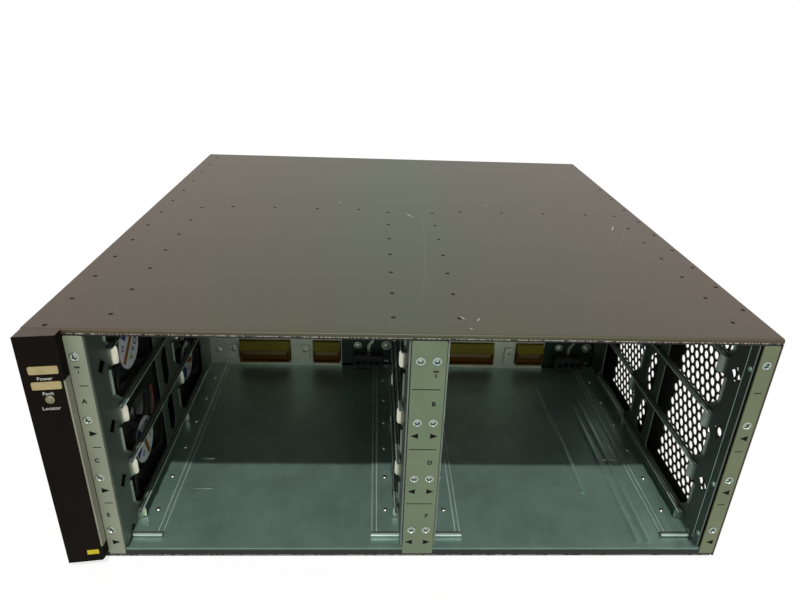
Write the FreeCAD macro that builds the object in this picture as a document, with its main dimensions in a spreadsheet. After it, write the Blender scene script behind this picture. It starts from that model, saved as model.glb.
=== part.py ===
import FreeCAD, Part

import math
import os
import re

import Sketcher
from FreeCAD import Vector

# Modular chassis switch: a four-unit rack case with two columns of module slots, an indicator
# bezel, a backplane and a fan tray that slides out of the rear. Millimetres.
# X runs right, Y runs back and Z up. Formulas count Y from the front plane of the case, and
# front_y then moves every piece so that the frame's origin is the bottom centre of the object.

DIMENSIONS = [
    ("case_wide", 444.5, "outer width of the case"),
    ("case_deep", 451.0, "front plane to rear panel"),
    ("case_high", 175.3, "outer height, four rack units less clearance"),
    ("skin", 1.2, "painted outer sheet"),
    ("zinc", 1.0, "galvanised inner sheet"),
    ("hem_drop", 3.4, "front fold of the lid"),
    ("pan_lip", 2.1, "front lip of the base"),
    ("lip_deep", 4.8, "front lip of the base, front to back"),
    ("pan_fold", 12.0, "side flanges of the base"),
    ("fold_left", 18.0, "top flange of the left side wall"),
    ("fold_right", 11.0, "top flange of the right side wall"),
    ("floor_top", 4.0, "height of the inner floor"),
    ("floor_bead", 1.9, "raised front edge of the inner floor"),
    ("bead_fit", 0.2, "floor bead to the guides"),
    ("slot_pitch", 44.45, "one rack unit, from slot to slot"),
    ("slot_line", 47.4, "height of the line between the two lowest slots"),
    ("ledge_top", 15.3, "top of the lowest card ledge"),
    ("ledge_out", 4.5, "ledge width into the bay"),
    ("ledge_web", 4.5, "turned-down edge of a ledge"),
    ("ledge_start", 26.0, "front end of the ledges"),
    ("ledge_end", 216.0, "rear end of the ledges"),
    ("ledge_lead", 3.0, "cut corners at both ends of a ledge"),
    ("scoop_out", 3.8, "lead-in scoop into the bay"),
    ("scoop_high", 13.5, "height of a lead-in scoop"),
    ("scoop_low", 9.5, "height of the lowest lead-in scoops"),
    ("scoop_deep", 17.0, "length of a lead-in scoop"),
    ("scoop_lead", 3.0, "front end of a scoop in front of its opening"),
    ("crest_from", 7.65, "front end of a scoop to its crest"),
    ("crest_to", 14.45, "front end of a scoop to the end of its crest"),
    ("crest_up", 2.5, "bottom of a scoop to its crest"),
    ("vent_front", 23.0, "front edge of the front guide opening"),
    ("vent_front_end", 101.0, "rear edge of the front guide opening"),
    ("slit_front", 111.0, "front edge of the slit"),
    ("slit_wide", 15.0, "width of the slit"),
    ("slit_inset", 1.0, "tips of the slit inside the height of the openings"),
    ("vent_rear", 137.0, "front edge of the rear guide opening"),
    ("vent_rear_end", 216.0, "rear edge of the rear guide opening"),
    ("vent_low", 0.6, "ledge to the bottom of the opening above it"),
    ("vent_land", 5.85, "solid band between an opening and the next one up"),
    ("vent_top_land", 2.4, "top flange to the top row of openings"),
    ("vent_corner", 11.5, "cut corner of a guide opening"),
    ("corner_slope", 0.8, "drop of an upper cut corner for each millimetre along"),
    ("vent_top_corner", 6.0, "cut corner of the openings in the top row"),
    ("notch_mid", 14.0, "front plane to the middle of a diamond notch"),
    ("notch_wide", 7.5, "diamond notch, along the wall"),
    ("notch_high", 9.0, "diamond notch, upright"),
    ("notch_drop", 6.3, "ledge to the middle of the notch under it"),
    ("flange_in", 19.6, "riveted foot of a guide"),
    ("foot_start", 12.0, "front plane to the riveted foot"),
    ("flange_top", 14.0, "riveted top of a guide"),
    ("rivet_front", 38.0, "front plane to the first rivet"),
    ("rivet_pitch", 35.75, "rivet spacing"),
    ("rivet_back", 9.8, "guide wall to its rivets"),
    ("rivet_round", 5.0, "rivet head diameter"),
    ("rivet_high", 0.9, "rivet head height"),
    ("bay_left", -188.2, "guide face on the left of the left bay"),
    ("bay_wide", 186.5, "guide face to guide face"),
    ("bay_gap", 24.0, "width of the divider between the bays"),
    ("strip_thick", 1.2, "front strips"),
    ("strip_left_out", 11.5, "guide face to the outer edge of the left strip"),
    ("strip_left_wide", 11.0, "width of the left strip"),
    ("strip_mid_wide", 21.0, "width of the centre strip"),
    ("strip_right_out", 2.25, "guide face to the inner edge of the right strip"),
    ("strip_low", 2.1, "bottom of the strips"),
    ("strip_top", 171.6, "top of the strips"),
    ("module_screws", 200.6, "spacing of a module's two screws"),
    ("screw_above", 20.8, "slot line to the screw above it"),
    ("screw_bore", 3.0, "threaded hole for a module screw"),
    ("bezel_deep", 10.0, "bezel in front of the case"),
    ("bezel_wide", 22.5, "bezel width"),
    ("bezel_low", 4.2, "bottom of the bezel"),
    ("bezel_high", 170.6, "height of the bezel"),
    ("bezel_wall", 1.6, "bezel wall"),
    ("bezel_side", 0.6, "bezel wall behind its metal side"),
    ("bezel_cut", 4.0, "cut corner at the foot of the bezel"),
    ("bezel_edge", 1.6, "rounded front edge of the bezel"),
    ("bracket_low", 15.0, "bottom of the metal side of the bezel"),
    ("bracket_top", 146.0, "top of the metal side of the bezel"),
    ("bracket_back", 1.0, "face of the bezel to the front edge of its metal side"),
    ("bracket_fit", 0.2, "metal side in the height of its seat"),
    ("window_wide", 16.8, "width of an indicator window"),
    ("window_high", 6.2, "height of an indicator window"),
    ("window_shift", 1.6, "indicators to the right of the middle of the bezel"),
    ("window_sunk", 0.3, "windows behind the face of the bezel"),
    ("window_fit", 0.1, "clearance round the windows and the lamp"),
    ("power_mid", 153.0, "height of the upper window"),
    ("fault_mid", 142.7, "height of the lower window"),
    ("locator_mid", 133.1, "height of the locator lamp"),
    ("locator_round", 5.2, "diameter of the locator lamp"),
    ("lamp_proud", 1.2, "dome of the locator lamp in front of the bezel"),
    ("dome_step", 0.5, "dome of the lamp inside its stem"),
    ("lamp_board_out", 2.7, "front of the indicator board in front of the case"),
    ("lamp_board_thick", 1.6, "indicator board"),
    ("lamp_board_over", 12.0, "indicator board past the outer lamps"),
    ("frame_front", 246.0, "front of the backplane frame"),
    ("frame_thick", 1.2, "backplane frame sheet"),
    ("frame_fit", 2.0, "lid to the top of the backplane"),
    ("board_gap", 2.4, "frame to backplane board"),
    ("board_thick", 2.4, "backplane board"),
    ("board_up", 1.0, "floor to the backplane board"),
    ("long_from", 30.5, "bay edge to the long connector"),
    ("long_wide", 50.5, "long connector"),
    ("long_high", 22.9, "height of the slot connectors"),
    ("short_from", 105.0, "bay edge to the short connector"),
    ("short_wide", 27.5, "short connector"),
    ("short_cut", 0.8, "space around a connector in the frame"),
    ("connector_low", 10.2, "bottom of the lowest connector"),
    ("connector_out", 6.0, "connectors in front of the frame"),
    ("mate_low", 2.6, "connector bottom to its lower recess"),
    ("mate_high", 5.4, "mating recess, upright"),
    ("mate_pitch", 7.0, "lower recess to upper recess"),
    ("mate_deep", 4.4, "depth of a mating recess"),
    ("mate_end", 3.0, "closed end of a mating recess"),
    ("brow_high", 6.0, "height of the sloping brow of a connector"),
    ("brow_back", 3.0, "how far the brow slopes back"),
    ("post_from", 92.6, "bay edge to the bracket post"),
    ("post_wide", 8.4, "bracket post"),
    ("post_high", 16.4, "bracket post, upright"),
    ("post_out", 3.0, "bracket post in front of the frame"),
    ("post_up", 2.0, "connector bottom to the bottom of a post"),
    ("post_beside", 1.5, "post to the long connector on its right"),
    ("frame_end", 134.0, "bay edge to the end of its frame"),
    ("power_from", 146.0, "bay edge to the power connector"),
    ("power_wide", 30.0, "power connector"),
    ("power_high", 14.0, "power connector, upright"),
    ("power_fit", 0.1, "foot of a guide to the lowest power connector"),
    ("power_end", 3.0, "end of a power connector to its first well"),
    ("power_rim", 4.0, "wall above and below the wells"),
    ("well_wide", 4.8, "contact well"),
    ("well_pitch", 6.4, "spacing of the contact wells"),
    ("board_screw_a", 150.5, "bay edge to the first board screw"),
    ("board_screw_b", 180.0, "bay edge to the second board screw"),
    ("board_screw_up", 16.8, "connector bottom to the board screws"),
    ("board_screw_round", 6.8, "head of a board screw"),
    ("board_screw_high", 2.2, "head height of a board screw"),
    ("supply_wide", 186.0, "width of a supply bay"),
    ("supply_high", 86.0, "height of a supply bay"),
    ("supply_left", -172.0, "left edge of the supply bays"),
    ("supply_back", 12.0, "backplane board to the supply bays"),
    ("cover_lap", 6.0, "supply cover past its opening"),
    ("cover_fit", 0.5, "supply cover short of its bay, at each end"),
    ("grip_inset", 50.0, "end of a cover to the end of its grip"),
    ("grip_out", 12.0, "grip of a supply cover behind the case"),
    ("screw_head", 9.0, "captive thumb screw head"),
    ("screw_long", 8.0, "captive thumb screw head length"),
    ("screw_shank", 4.0, "shank of a thumb screw"),
    ("screw_hole", 4.6, "hole for a thumb screw"),
    ("fan_size", 80.0, "fan frame"),
    ("fan_deep", 25.0, "fan thickness"),
    ("fan_bore", 76.0, "air way of a fan"),
    ("fan_hub", 37.0, "hub of a fan"),
    ("fan_shaft", 3.0, "fan shaft"),
    ("shaft_fit", 0.05, "radial clearance of the shaft"),
    ("shaft_end", 2.0, "face of a fan to the end of its shaft"),
    ("bearing_floor", 1.5, "face of a fan to the floor of its bearing"),
    ("bearing_round", 8.0, "bearing tube of a fan"),
    ("bearing_long", 15.0, "length of the bearing tube"),
    ("arm_wide", 4.0, "arm of a fan frame"),
    ("arm_deep", 3.0, "arms and motor plate, along the axis"),
    ("arm_sunk", 0.5, "arms into the frame of a fan"),
    ("fan_hole", 4.2, "corner hole of a fan, across corners"),
    ("fan_hole_in", 4.3, "edge of a fan to its corner holes"),
    ("cup_inset", 0.5, "rotor cup inside the hub's outline"),
    ("cup_wall", 1.5, "wall of the rotor cup"),
    ("cup_floor", 2.0, "floor of the rotor cup"),
    ("cup_back", 2.0, "rear of a fan to its rotor cup"),
    ("cup_front", 3.5, "face of a fan to its rotor cup"),
    ("fan_low", 48.0, "height of the lower fans"),
    ("fan_rise", 81.0, "lower fans to upper fans"),
    ("fan_first", 66.0, "front plane to the front fans"),
    ("fan_column", 114.0, "front fans to rear fans"),
    ("fan_blades", 7, "blades of a fan"),
    ("blade_thick", 1.4, "blade, along the axis"),
    ("blade_gap", 4.0, "air way to the straight tip of a blade"),
    ("blade_root", 1.0, "root of a blade inside the cup's outline"),
    ("blade_back", 0.3, "blades behind the middle of the fan"),
    ("root_deep", 7.5, "half depth of a blade at its root"),
    ("root_round", 7.0, "half width of a blade at its root"),
    ("tip_deep", 5.5, "half depth of a blade at its tip"),
    ("tip_round", 12.0, "half width of a blade at its tip"),
    ("tray_front", 18.0, "front end of the tray"),
    ("tray_out", 4.6, "outer case face to the tray wall"),
    ("tray_fold", 27.0, "width of the tray's folds"),
    ("tray_low", 6.5, "underside of the tray"),
    ("tray_high", 164.0, "height of the tray"),
    ("tray_gap", 0.1, "tray to its runners"),
    ("tray_play", 0.8, "tray to its opening in the rear panel"),
    ("runner_inset", 1.0, "lower runner inside the fold above it"),
    ("runner_fit", 0.05, "flange of the side wall to the upper runner"),
    ("plate_lap", 3.0, "rear plate of the tray past the tray"),
    ("tray_screw_in", 10.0, "end of the tray to its screw"),
    ("handle_out", 20.0, "handle behind the rear panel"),
    ("handle_rod", 5.0, "handle rod"),
    ("handle_high", 70.0, "handle, end to end"),
    ("handle_bend", 5.0, "bend radius of the handle"),
    ("grille_pitch", 20.0, "spacing of the intake holes"),
    ("grille_hole", 17.8, "intake hole across corners"),
    ("grille_low", 14.0, "lowest row of intake holes"),
    ("grille_top", 166.0, "limit of the highest row of intake holes"),
    ("exhaust_pitch", 16.0, "spacing of the exhaust slots"),
    ("exhaust_slot", 8.0, "exhaust slot, upright"),
    ("exhaust_gap", 6.0, "solid band between two exhaust slots"),
]

CELLS = {name for name, number, meaning in DIMENSIONS}
SLOT_ROWS = range(3)
ALL_ROWS = range(4)
RIVETS = 6
WELLS = 4

# Small round forms repeat often, so they have few sides.
RIVET_SIDES = 6
SHANK_SIDES = 6
SCREW_SIDES = 8
THUMB_SIDES = 12
LAMP_SIDES = 12
AIRWAY_SIDES = 20
HUB_SIDES = 16
HOLE_SIDES = 4

doc = FreeCAD.newDocument("chassis_switch")
sheet = doc.addObject("Spreadsheet::Sheet", "size")
for row, (name, number, meaning) in enumerate(DIMENSIONS, start=1):
    sheet.set(f"A{row}", meaning)
    sheet.set(f"B{row}", str(number))
    sheet.setAlias(f"B{row}", name)
doc.recompute()

finished = {}


def cells(formula):
    """Turn the plain names in a formula into references to the sheet's cells."""
    def refer(word):
        return "size." + word.group() if word.group() in CELLS else word.group()
    return re.sub(r"[a-z_]+", refer, str(formula))


def value(formula):
    """The number that a formula gives."""
    return float(sheet.evalExpression(cells(formula)))


FRONT_Y = "(bezel_deep + lamp_proud - case_deep - handle_out) / 2"
BAY_RIGHT = "(bay_left + bay_wide + bay_gap)"
BAYS = {"left": "bay_left", "right": BAY_RIGHT}


# Building blocks

def bind(thing, **formulas):
    """Tie properties to formulas; a double underscore in a name stands for a dot."""
    for prop, formula in formulas.items():
        thing.setExpression(prop.replace("__", "."), cells(formula))


def keep(solid, label):
    """Name a finished sub-part and move it from front-plane to object coordinates."""
    solid.Label = label
    inner = dict((path.lstrip("."), text) for path, text in solid.ExpressionEngine)
    here = inner.get("Placement.Base.y", "0")
    solid.setExpression("Placement.Base.y", f"{cells(FRONT_Y)} + ({here})")
    finished[label] = solid
    return solid


def box(corner, extent):
    """A block from its low corner and its three sizes."""
    solid = doc.addObject("Part::Box", "block")
    bind(solid, Length=extent[0], Width=extent[1], Height=extent[2])
    bind(solid, Placement__Base__x=corner[0], Placement__Base__y=corner[1], Placement__Base__z=corner[2])
    return solid


def prism(start, round, length, sides, lying=True):
    """A many-sided bar in place of a round one; it lies along Y or stands upright."""
    solid = doc.addObject("Part::Prism", "bar")
    solid.Polygon = sides
    if lying:
        solid.Placement.Rotation = FreeCAD.Rotation(Vector(-1, 0, 0), 90)
    bind(solid, Circumradius=f"{round} / 2", Height=length)
    bind(solid, Placement__Base__x=start[0], Placement__Base__y=start[1], Placement__Base__z=start[2])
    return solid


def joined(solids):
    union = doc.addObject("Part::MultiFuse", "joined")
    union.Shapes = solids
    union.Refine = True
    return union


def group(solids):
    """Separate solids that share one node, such as a set of screws."""
    several = doc.addObject("Part::Compound", "set")
    several.Links = solids
    return several


def cut(solid, tool):
    remainder = doc.addObject("Part::Cut", "cut")
    remainder.Base = solid
    remainder.Tool = tool
    return remainder


def body():
    return doc.addObject("PartDesign::Body", "body")


def datum(owner, role):
    """One of a body's own origin planes or axes."""
    return next(item for item in owner.Origin.OriginFeatures if item.Role == role)


def sketch(owner, plane, offset=0):
    """An empty sketch on an origin plane, moved along the plane's normal."""
    drawing = owner.newObject("Sketcher::SketchObject", "sketch")
    drawing.AttachmentSupport = [(datum(owner, plane), "")]
    drawing.MapMode = "FlatFace"
    drawing.setExpression("AttachmentOffset.Base.z", cells(offset))
    return drawing


def tie(drawing, element, point, corner):
    """Hold a point of a sketch at two distances from the sketch's origin."""
    for kind, formula in zip(("DistanceX", "DistanceY"), corner):
        place = drawing.addConstraint(Sketcher.Constraint(kind, -1, 1, element, point, value(formula)))
        drawing.setExpression(f"Constraints[{place}]", cells(formula))


def outline(drawing, corners):
    """A closed straight-sided outline with every corner tied to the sheet."""
    points = [Vector(value(across), value(up), 0) for across, up in corners]
    first = drawing.GeometryCount
    ends = points[1:] + points[:1]
    drawing.addGeometry([Part.LineSegment(a, b) for a, b in zip(points, ends)], False)
    count = len(points)
    drawing.addConstraint([
        Sketcher.Constraint("Coincident", first + i, 2, first + (i + 1) % count, 1) for i in range(count)
    ])
    for i, corner in enumerate(corners):
        tie(drawing, first + i, 1, corner)


def ring(drawing, middle, radius):
    """A circle with its centre and radius tied to the sheet."""
    centre = Vector(value(middle[0]), value(middle[1]), 0)
    element = drawing.addGeometry(Part.Circle(centre, Vector(0, 0, 1), value(radius)), False)
    tie(drawing, element, 3, middle)
    place = drawing.addConstraint(Sketcher.Constraint("Radius", element, value(radius)))
    drawing.setExpression(f"Constraints[{place}]", cells(radius))


def many_sided(drawing, middle, radius, sides):
    """An even-sided outline in place of a circle, where a round form repeats."""
    corners = []
    for corner in range(sides):
        turn = 2 * math.pi * corner / sides
        corners.append((f"{middle[0]} + ({radius}) * {math.cos(turn):.6f}",
                        f"{middle[1]} + ({radius}) * {math.sin(turn):.6f}"))
    outline(drawing, corners)


def rectangle(low, high):
    """The corners of an upright rectangle."""
    return [low, (high[0], low[1]), high, (low[0], high[1])]


def pad(owner, drawing, length, reverse=False):
    feature = owner.newObject("PartDesign::Pad", "pad")
    feature.Profile = drawing
    feature.Reversed = reverse
    bind(feature, Length=length)
    return feature


def pocket(owner, drawing, length):
    """Cut an outline by the same depth on both sides of its sketch."""
    feature = owner.newObject("PartDesign::Pocket", "pocket")
    feature.Profile = drawing
    feature.SideType = "Symmetric"
    bind(feature, Length=length)
    return feature


def repeat_up(owner, features, count, pitch="slot_pitch"):
    """Repeat features upwards, one slot at a time."""
    pattern = owner.newObject("PartDesign::LinearPattern", "rows")
    pattern.Originals = features
    pattern.Direction = (datum(owner, "Z_Axis"), [""])
    pattern.Occurrences = count
    bind(pattern, Length=f"({pitch}) * {count - 1}")
    owner.Tip = pattern
    return pattern


# Outer case

def top_cover():
    lid = body()
    profile = sketch(lid, "YZ_Plane", "-case_wide / 2")
    outline(profile, [
        (0, "case_high - hem_drop"), ("skin", "case_high - hem_drop"), ("skin", "case_high - skin"),
        ("case_deep", "case_high - skin"), ("case_deep", "case_high"), (0, "case_high"),
    ])
    pad(lid, profile, "case_wide")
    keep(lid, "top_cover")


def bottom_pan():
    pan = body()
    inside = "case_wide / 2 - skin"
    profile = sketch(pan, "XZ_Plane", "-skin")
    outline(profile, [
        (f"-({inside})", 0), (inside, 0), (inside, "pan_fold"), (f"{inside} - skin", "pan_fold"),
        (f"{inside} - skin", "skin"), (f"skin - ({inside})", "skin"), (f"skin - ({inside})", "pan_fold"),
        (f"-({inside})", "pan_fold"),
    ])
    pad(pan, profile, "case_deep - skin * 2", reverse=True)
    lip = sketch(pan, "XY_Plane")
    outline(lip, rectangle((f"skin - ({inside})", 0), (f"{inside} - skin", "lip_deep")))
    pad(pan, lip, "pan_lip")
    keep(pan, "bottom_pan")


def side_wall(label, side, fold):
    """Outer wall with a flange under the lid; side is -1 on the left and 1 on the right."""
    wall = body()
    under_lid = "case_high - skin"
    outer = f"{side} * case_wide / 2"
    inner = f"{side} * (case_wide / 2 - skin)"
    edge = f"{side} * (case_wide / 2 - {fold})"
    profile = sketch(wall, "XZ_Plane", "-skin")
    outline(profile, [
        (outer, 0), (outer, under_lid), (edge, under_lid), (edge, f"{under_lid} - skin"),
        (inner, f"{under_lid} - skin"), (inner, 0),
    ])
    pad(wall, profile, "case_deep - skin * 2", reverse=True)
    front = sketch(wall, "XZ_Plane", "-skin")
    outline(front, [(outer, 0), (outer, "case_high - hem_drop"), (inner, "case_high - hem_drop"), (inner, 0)])
    pad(wall, front, "skin")
    return keep(wall, label)


def hexagon(drawing, middle_y, middle_z, across):
    """A six-sided hole with two corners upright."""
    corners = []
    for turn in range(6):
        angle = math.radians(60 * turn + 30)
        reach = Vector(math.cos(angle), math.sin(angle), 0) * (across / 2)
        corners.append(Vector(middle_y, middle_z, 0) + reach)
    drawing.addGeometry([Part.LineSegment(a, b) for a, b in zip(corners, corners[1:] + corners[:1])], False)


def intake_grille(wall):
    """Close-packed holes in two fields, each behind one column of guide openings."""
    drawing = sketch(wall, "YZ_Plane", "case_wide / 2")
    pitch = value("grille_pitch")
    rise = pitch * math.sqrt(3) / 2
    rows = int((value("grille_top") - value("grille_low")) / rise) + 1
    for start, end in (("vent_front", "vent_front_end"), ("vent_rear", "vent_rear_end")):
        columns = int((value(end) - value(start)) / pitch)
        margin = (value(end) - value(start) - (columns - 1) * pitch) / 2
        for row in range(rows):
            odd = row % 2
            for column in range(columns - odd):
                middle_y = value(start) + margin + (column + odd / 2) * pitch
                hexagon(drawing, middle_y, value("grille_low") + row * rise, value("grille_hole"))
    wall.Tip = pocket(wall, drawing, "skin * 4")


def exhaust_slots(wall):
    """Level slots in front of the two columns of fans."""
    drawing = sketch(wall, "YZ_Plane", "-case_wide / 2")
    for column in range(2):
        middle = f"fan_first + {column} * fan_column"
        for half in (-1, 1):
            low = f"{middle} + {half} * fan_bore / 4 - fan_bore / 4 + exhaust_gap / 2"
            high = f"{low} + fan_bore / 2 - exhaust_gap"
            corners = rectangle((low, "grille_low"), (high, "grille_low + exhaust_slot"))
            outline(drawing, corners)
    slots = pocket(wall, drawing, "skin * 4")
    rows = int((value("grille_top") - value("grille_low")) / value("exhaust_pitch"))
    repeat_up(wall, [slots], rows, "exhaust_pitch")


def rear_panel():
    panel = body()
    drawing = sketch(panel, "XZ_Plane", "-case_deep")
    edge = "case_wide / 2"
    outline(drawing, rectangle((f"-({edge})", "skin"), (edge, "case_high - skin")))
    outline(drawing, rectangle((f"{TRAY_LEFT} - tray_play", "tray_low - tray_play"),
                               (f"{TRAY_LEFT} + tray_fold + tray_play", f"{TRAY_TOP} + tray_play")))
    for bay in range(2):
        left, right = supply_opening(bay)
        top = "floor_top + supply_high - cover_lap"
        outline(drawing, rectangle((left, "floor_top + cover_lap"), (right, top)))
    pad(panel, drawing, "skin")
    keep(panel, "rear_panel")


def floor_pan():
    floor = body()
    profile = sketch(floor, "YZ_Plane", "skin * 2 - case_wide / 2")
    top = "floor_top + floor_bead"
    floor_end = "frame_front + frame_thick"
    outline(profile, [
        ("skin", "pan_lip"), ("skin + zinc", "pan_lip"), ("skin + zinc", "floor_top - zinc"),
        (floor_end, "floor_top - zinc"), (floor_end, "floor_top"), ("skin + zinc * 2", "floor_top"),
        ("skin + zinc * 2", top), ("skin", top),
    ])
    pad(floor, profile, "case_wide - skin * 4")
    keep(floor, "floor_pan")


# Card guides

def card_guide(label, face, side):
    """Stamped wall with its face towards the bay; side is 1 where the bay lies to the right."""
    guide = body()
    bind(guide, Placement__Base__x=face)
    depth = "frame_front - skin"
    lid = "case_high - skin"
    profile = sketch(guide, "XZ_Plane", "-skin")
    outline(profile, [
        (f"{-side} * zinc", "floor_top"), (f"{side} * flange_in", "floor_top"),
        (f"{side} * flange_in", "floor_top + zinc"), (0, "floor_top + zinc"), (0, f"{lid} - zinc"),
        (f"{side} * flange_top", f"{lid} - zinc"), (f"{side} * flange_top", lid), (f"{-side} * zinc", lid),
    ])
    pad(guide, profile, depth, reverse=True)
    relief = sketch(guide, "XY_Plane", "floor_top")
    bead_end = "skin + zinc * 2 + bead_fit"
    behind = f"{-side * 2} * zinc"
    past_foot = f"{side} * (flange_in + zinc)"
    outline(relief, [
        (behind, 0), (past_foot, 0), (past_foot, "foot_start"),
        (0, "foot_start"), (0, bead_end), (behind, bead_end),
    ])
    pocket(guide, relief, "(floor_bead + bead_fit) * 2")
    openings = sketch(guide, "YZ_Plane")
    guide_openings(openings, "(slot_pitch - vent_land)", "vent_corner")
    notch(openings)
    repeat_up(guide, [pocket(guide, openings, "zinc * 4")], len(SLOT_ROWS))
    top_row = sketch(guide, "YZ_Plane", 0)
    top_high = "(case_high - skin - zinc - vent_top_land - ledge_top - vent_low - slot_pitch * 3)"
    guide_openings(top_row, top_high, "vent_top_corner", "slot_pitch * 3")
    notch(top_row, "slot_pitch * 3")
    pocket(guide, top_row, "zinc * 4")
    rail = sketch(guide, "XZ_Plane", "-ledge_start")
    outline(rail, [
        (0, "ledge_top - zinc"), (f"{side} * (ledge_out - zinc)", "ledge_top - zinc"),
        (f"{side} * (ledge_out - zinc)", "ledge_top - ledge_web"),
        (f"{side} * ledge_out", "ledge_top - ledge_web"), (f"{side} * ledge_out", "ledge_top"),
        (f"{-side} * zinc / 2", "ledge_top"), (f"{-side} * zinc / 2", "ledge_top - zinc"),
    ])
    ledge = pad(guide, rail, "ledge_end - ledge_start", reverse=True)
    repeat_up(guide, [ledge], len(ALL_ROWS))
    lead_in(guide, side)
    ends = ("vent_front - scoop_lead", "vent_rear - scoop_lead")
    for start in ends:
        scoop(guide, side, start, "scoop_low", "0")
    upper = [scoop(guide, side, start, "scoop_high", "slot_pitch") for start in ends]
    repeat_up(guide, upper, len(ALL_ROWS) - 1)
    keep(guide, label)


def lead_in(guide, side):
    """Cut the free corners at both ends of every ledge, so that a card finds its way in."""
    corners = sketch(guide, "XY_Plane", "ledge_top + slot_pitch * 3 / 2")
    for end, way in (("ledge_start", 1), ("ledge_end", -1)):
        outline(corners, [
            (f"{side} * (ledge_out - ledge_lead)", end), (f"{side} * (ledge_out + zinc)", end),
            (f"{side} * (ledge_out + zinc)", f"{end} + {way} * ledge_lead"),
            (f"{side} * ledge_out", f"{end} + {way} * ledge_lead"),
        ])
    pocket(guide, corners, "(slot_pitch * 3 / 2 + ledge_web + zinc) * 2")


def guide_openings(drawing, high, corner, up="0"):
    """Two large openings with cut front corners and a pointed slit between them."""
    low = f"ledge_top + vent_low + {up}"
    top = f"ledge_top + vent_low + {high} + {up}"
    for start, end in (("vent_front", "vent_front_end"), ("vent_rear", "vent_rear_end")):
        outline(drawing, [
            (f"{start} + {corner}", low), (end, low), (end, top), (f"{start} + {corner}", top),
            (start, f"{top} - {corner} * corner_slope"), (start, f"{low} + {corner}"),
        ])
    half = "slit_wide / 2"
    outline(drawing, [
        (f"slit_front + {half}", f"{low} + slit_inset"), ("slit_front + slit_wide", f"{low} + {half}"),
        ("slit_front + slit_wide", f"{top} - {half}"), (f"slit_front + {half}", f"{top} - slit_inset"),
        ("slit_front", f"{top} - {half}"), ("slit_front", f"{low} + {half}"),
    ])


def notch(drawing, up="0"):
    """Diamond hole near the front of the wall, below a ledge."""
    middle = f"ledge_top - notch_drop + {up}"
    outline(drawing, [
        ("notch_mid", f"{middle} - notch_high / 2"), ("notch_mid + notch_wide / 2", middle),
        ("notch_mid", f"{middle} + notch_high / 2"), ("notch_mid - notch_wide / 2", middle),
    ])


def scoop(guide, side, start, high, up):
    """Lead-in scoop: a pressed bulge that tapers from the wall to a narrow crest under the ledge."""
    top = f"ledge_top + {up}"
    foot = sketch(guide, "YZ_Plane", f"{-side} * zinc / 2")
    outline(foot, rectangle((start, f"{top} - {high}"), (f"{start} + scoop_deep", f"{top} - zinc / 2")))
    crest = sketch(guide, "YZ_Plane", f"{side} * scoop_out")
    outline(crest, rectangle((f"{start} + crest_from", f"{top} - {high} + crest_up"),
                             (f"{start} + crest_to", f"{top} - zinc")))
    bulge = guide.newObject("PartDesign::AdditiveLoft", "bulge")
    bulge.Profile = foot
    bulge.Sections = [crest]
    bulge.Ruled = True
    return bulge


def floor_rivets():
    heads = []
    for face, side in GUIDE_FACES.values():
        for count in range(RIVETS):
            along = f"rivet_front + {count} * rivet_pitch"
            middle = (f"({face}) + {side} * rivet_back", along, "floor_top + zinc")
            heads.append(prism(middle, "rivet_round", "rivet_high", RIVET_SIDES, lying=False))
    keep(group(heads), "floor_rivets")


GUIDE_FACES = {
    "guide_left": ("bay_left", 1),
    "divider_guide_left": ("bay_left + bay_wide", -1),
    "divider_guide_right": (BAY_RIGHT, 1),
    "guide_right": (f"{BAY_RIGHT} + bay_wide", -1),
}

# Front strips and the indicator bezel

SLOT_MIDDLES = {
    "left": "bay_left + bay_wide / 2",
    "right": f"{BAY_RIGHT} + bay_wide / 2",
}
RIGHT_STRIP_EDGE = f"({BAY_RIGHT} + bay_wide + strip_right_out)"
STRIPS = {
    "strip_left": ("bay_left - strip_left_out", "strip_left_wide", [("left", -1)]),
    "strip_centre": ("bay_left + bay_wide + (bay_gap - strip_mid_wide) / 2", "strip_mid_wide",
                     [("left", 1), ("right", -1)]),
    "strip_right": (RIGHT_STRIP_EDGE, f"case_wide / 2 - skin - {RIGHT_STRIP_EDGE}", [("right", 1)]),
}


def screw_places(columns):
    """Where a strip's threaded holes are: one for each slot row and column."""
    for bay, side in columns:
        across = f"{SLOT_MIDDLES[bay]} + {side} * module_screws / 2"
        for row in ALL_ROWS:
            yield across, f"slot_line - slot_pitch + screw_above + {row} * slot_pitch"


def front_strip(label):
    edge, wide, columns = STRIPS[label]
    strip = body()
    drawing = sketch(strip, "XZ_Plane")
    outline(drawing, rectangle((edge, "strip_low"), (f"{edge} + {wide}", "strip_top")))
    for place in screw_places(columns):
        ring(drawing, place, "screw_bore / 2")
    pad(strip, drawing, "strip_thick", reverse=True)
    keep(strip, label)


BEZEL_LEFT = "-case_wide / 2"
BEZEL_RIGHT = "bezel_wide - case_wide / 2"
BEZEL_TOP = "bezel_low + bezel_high"


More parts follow.
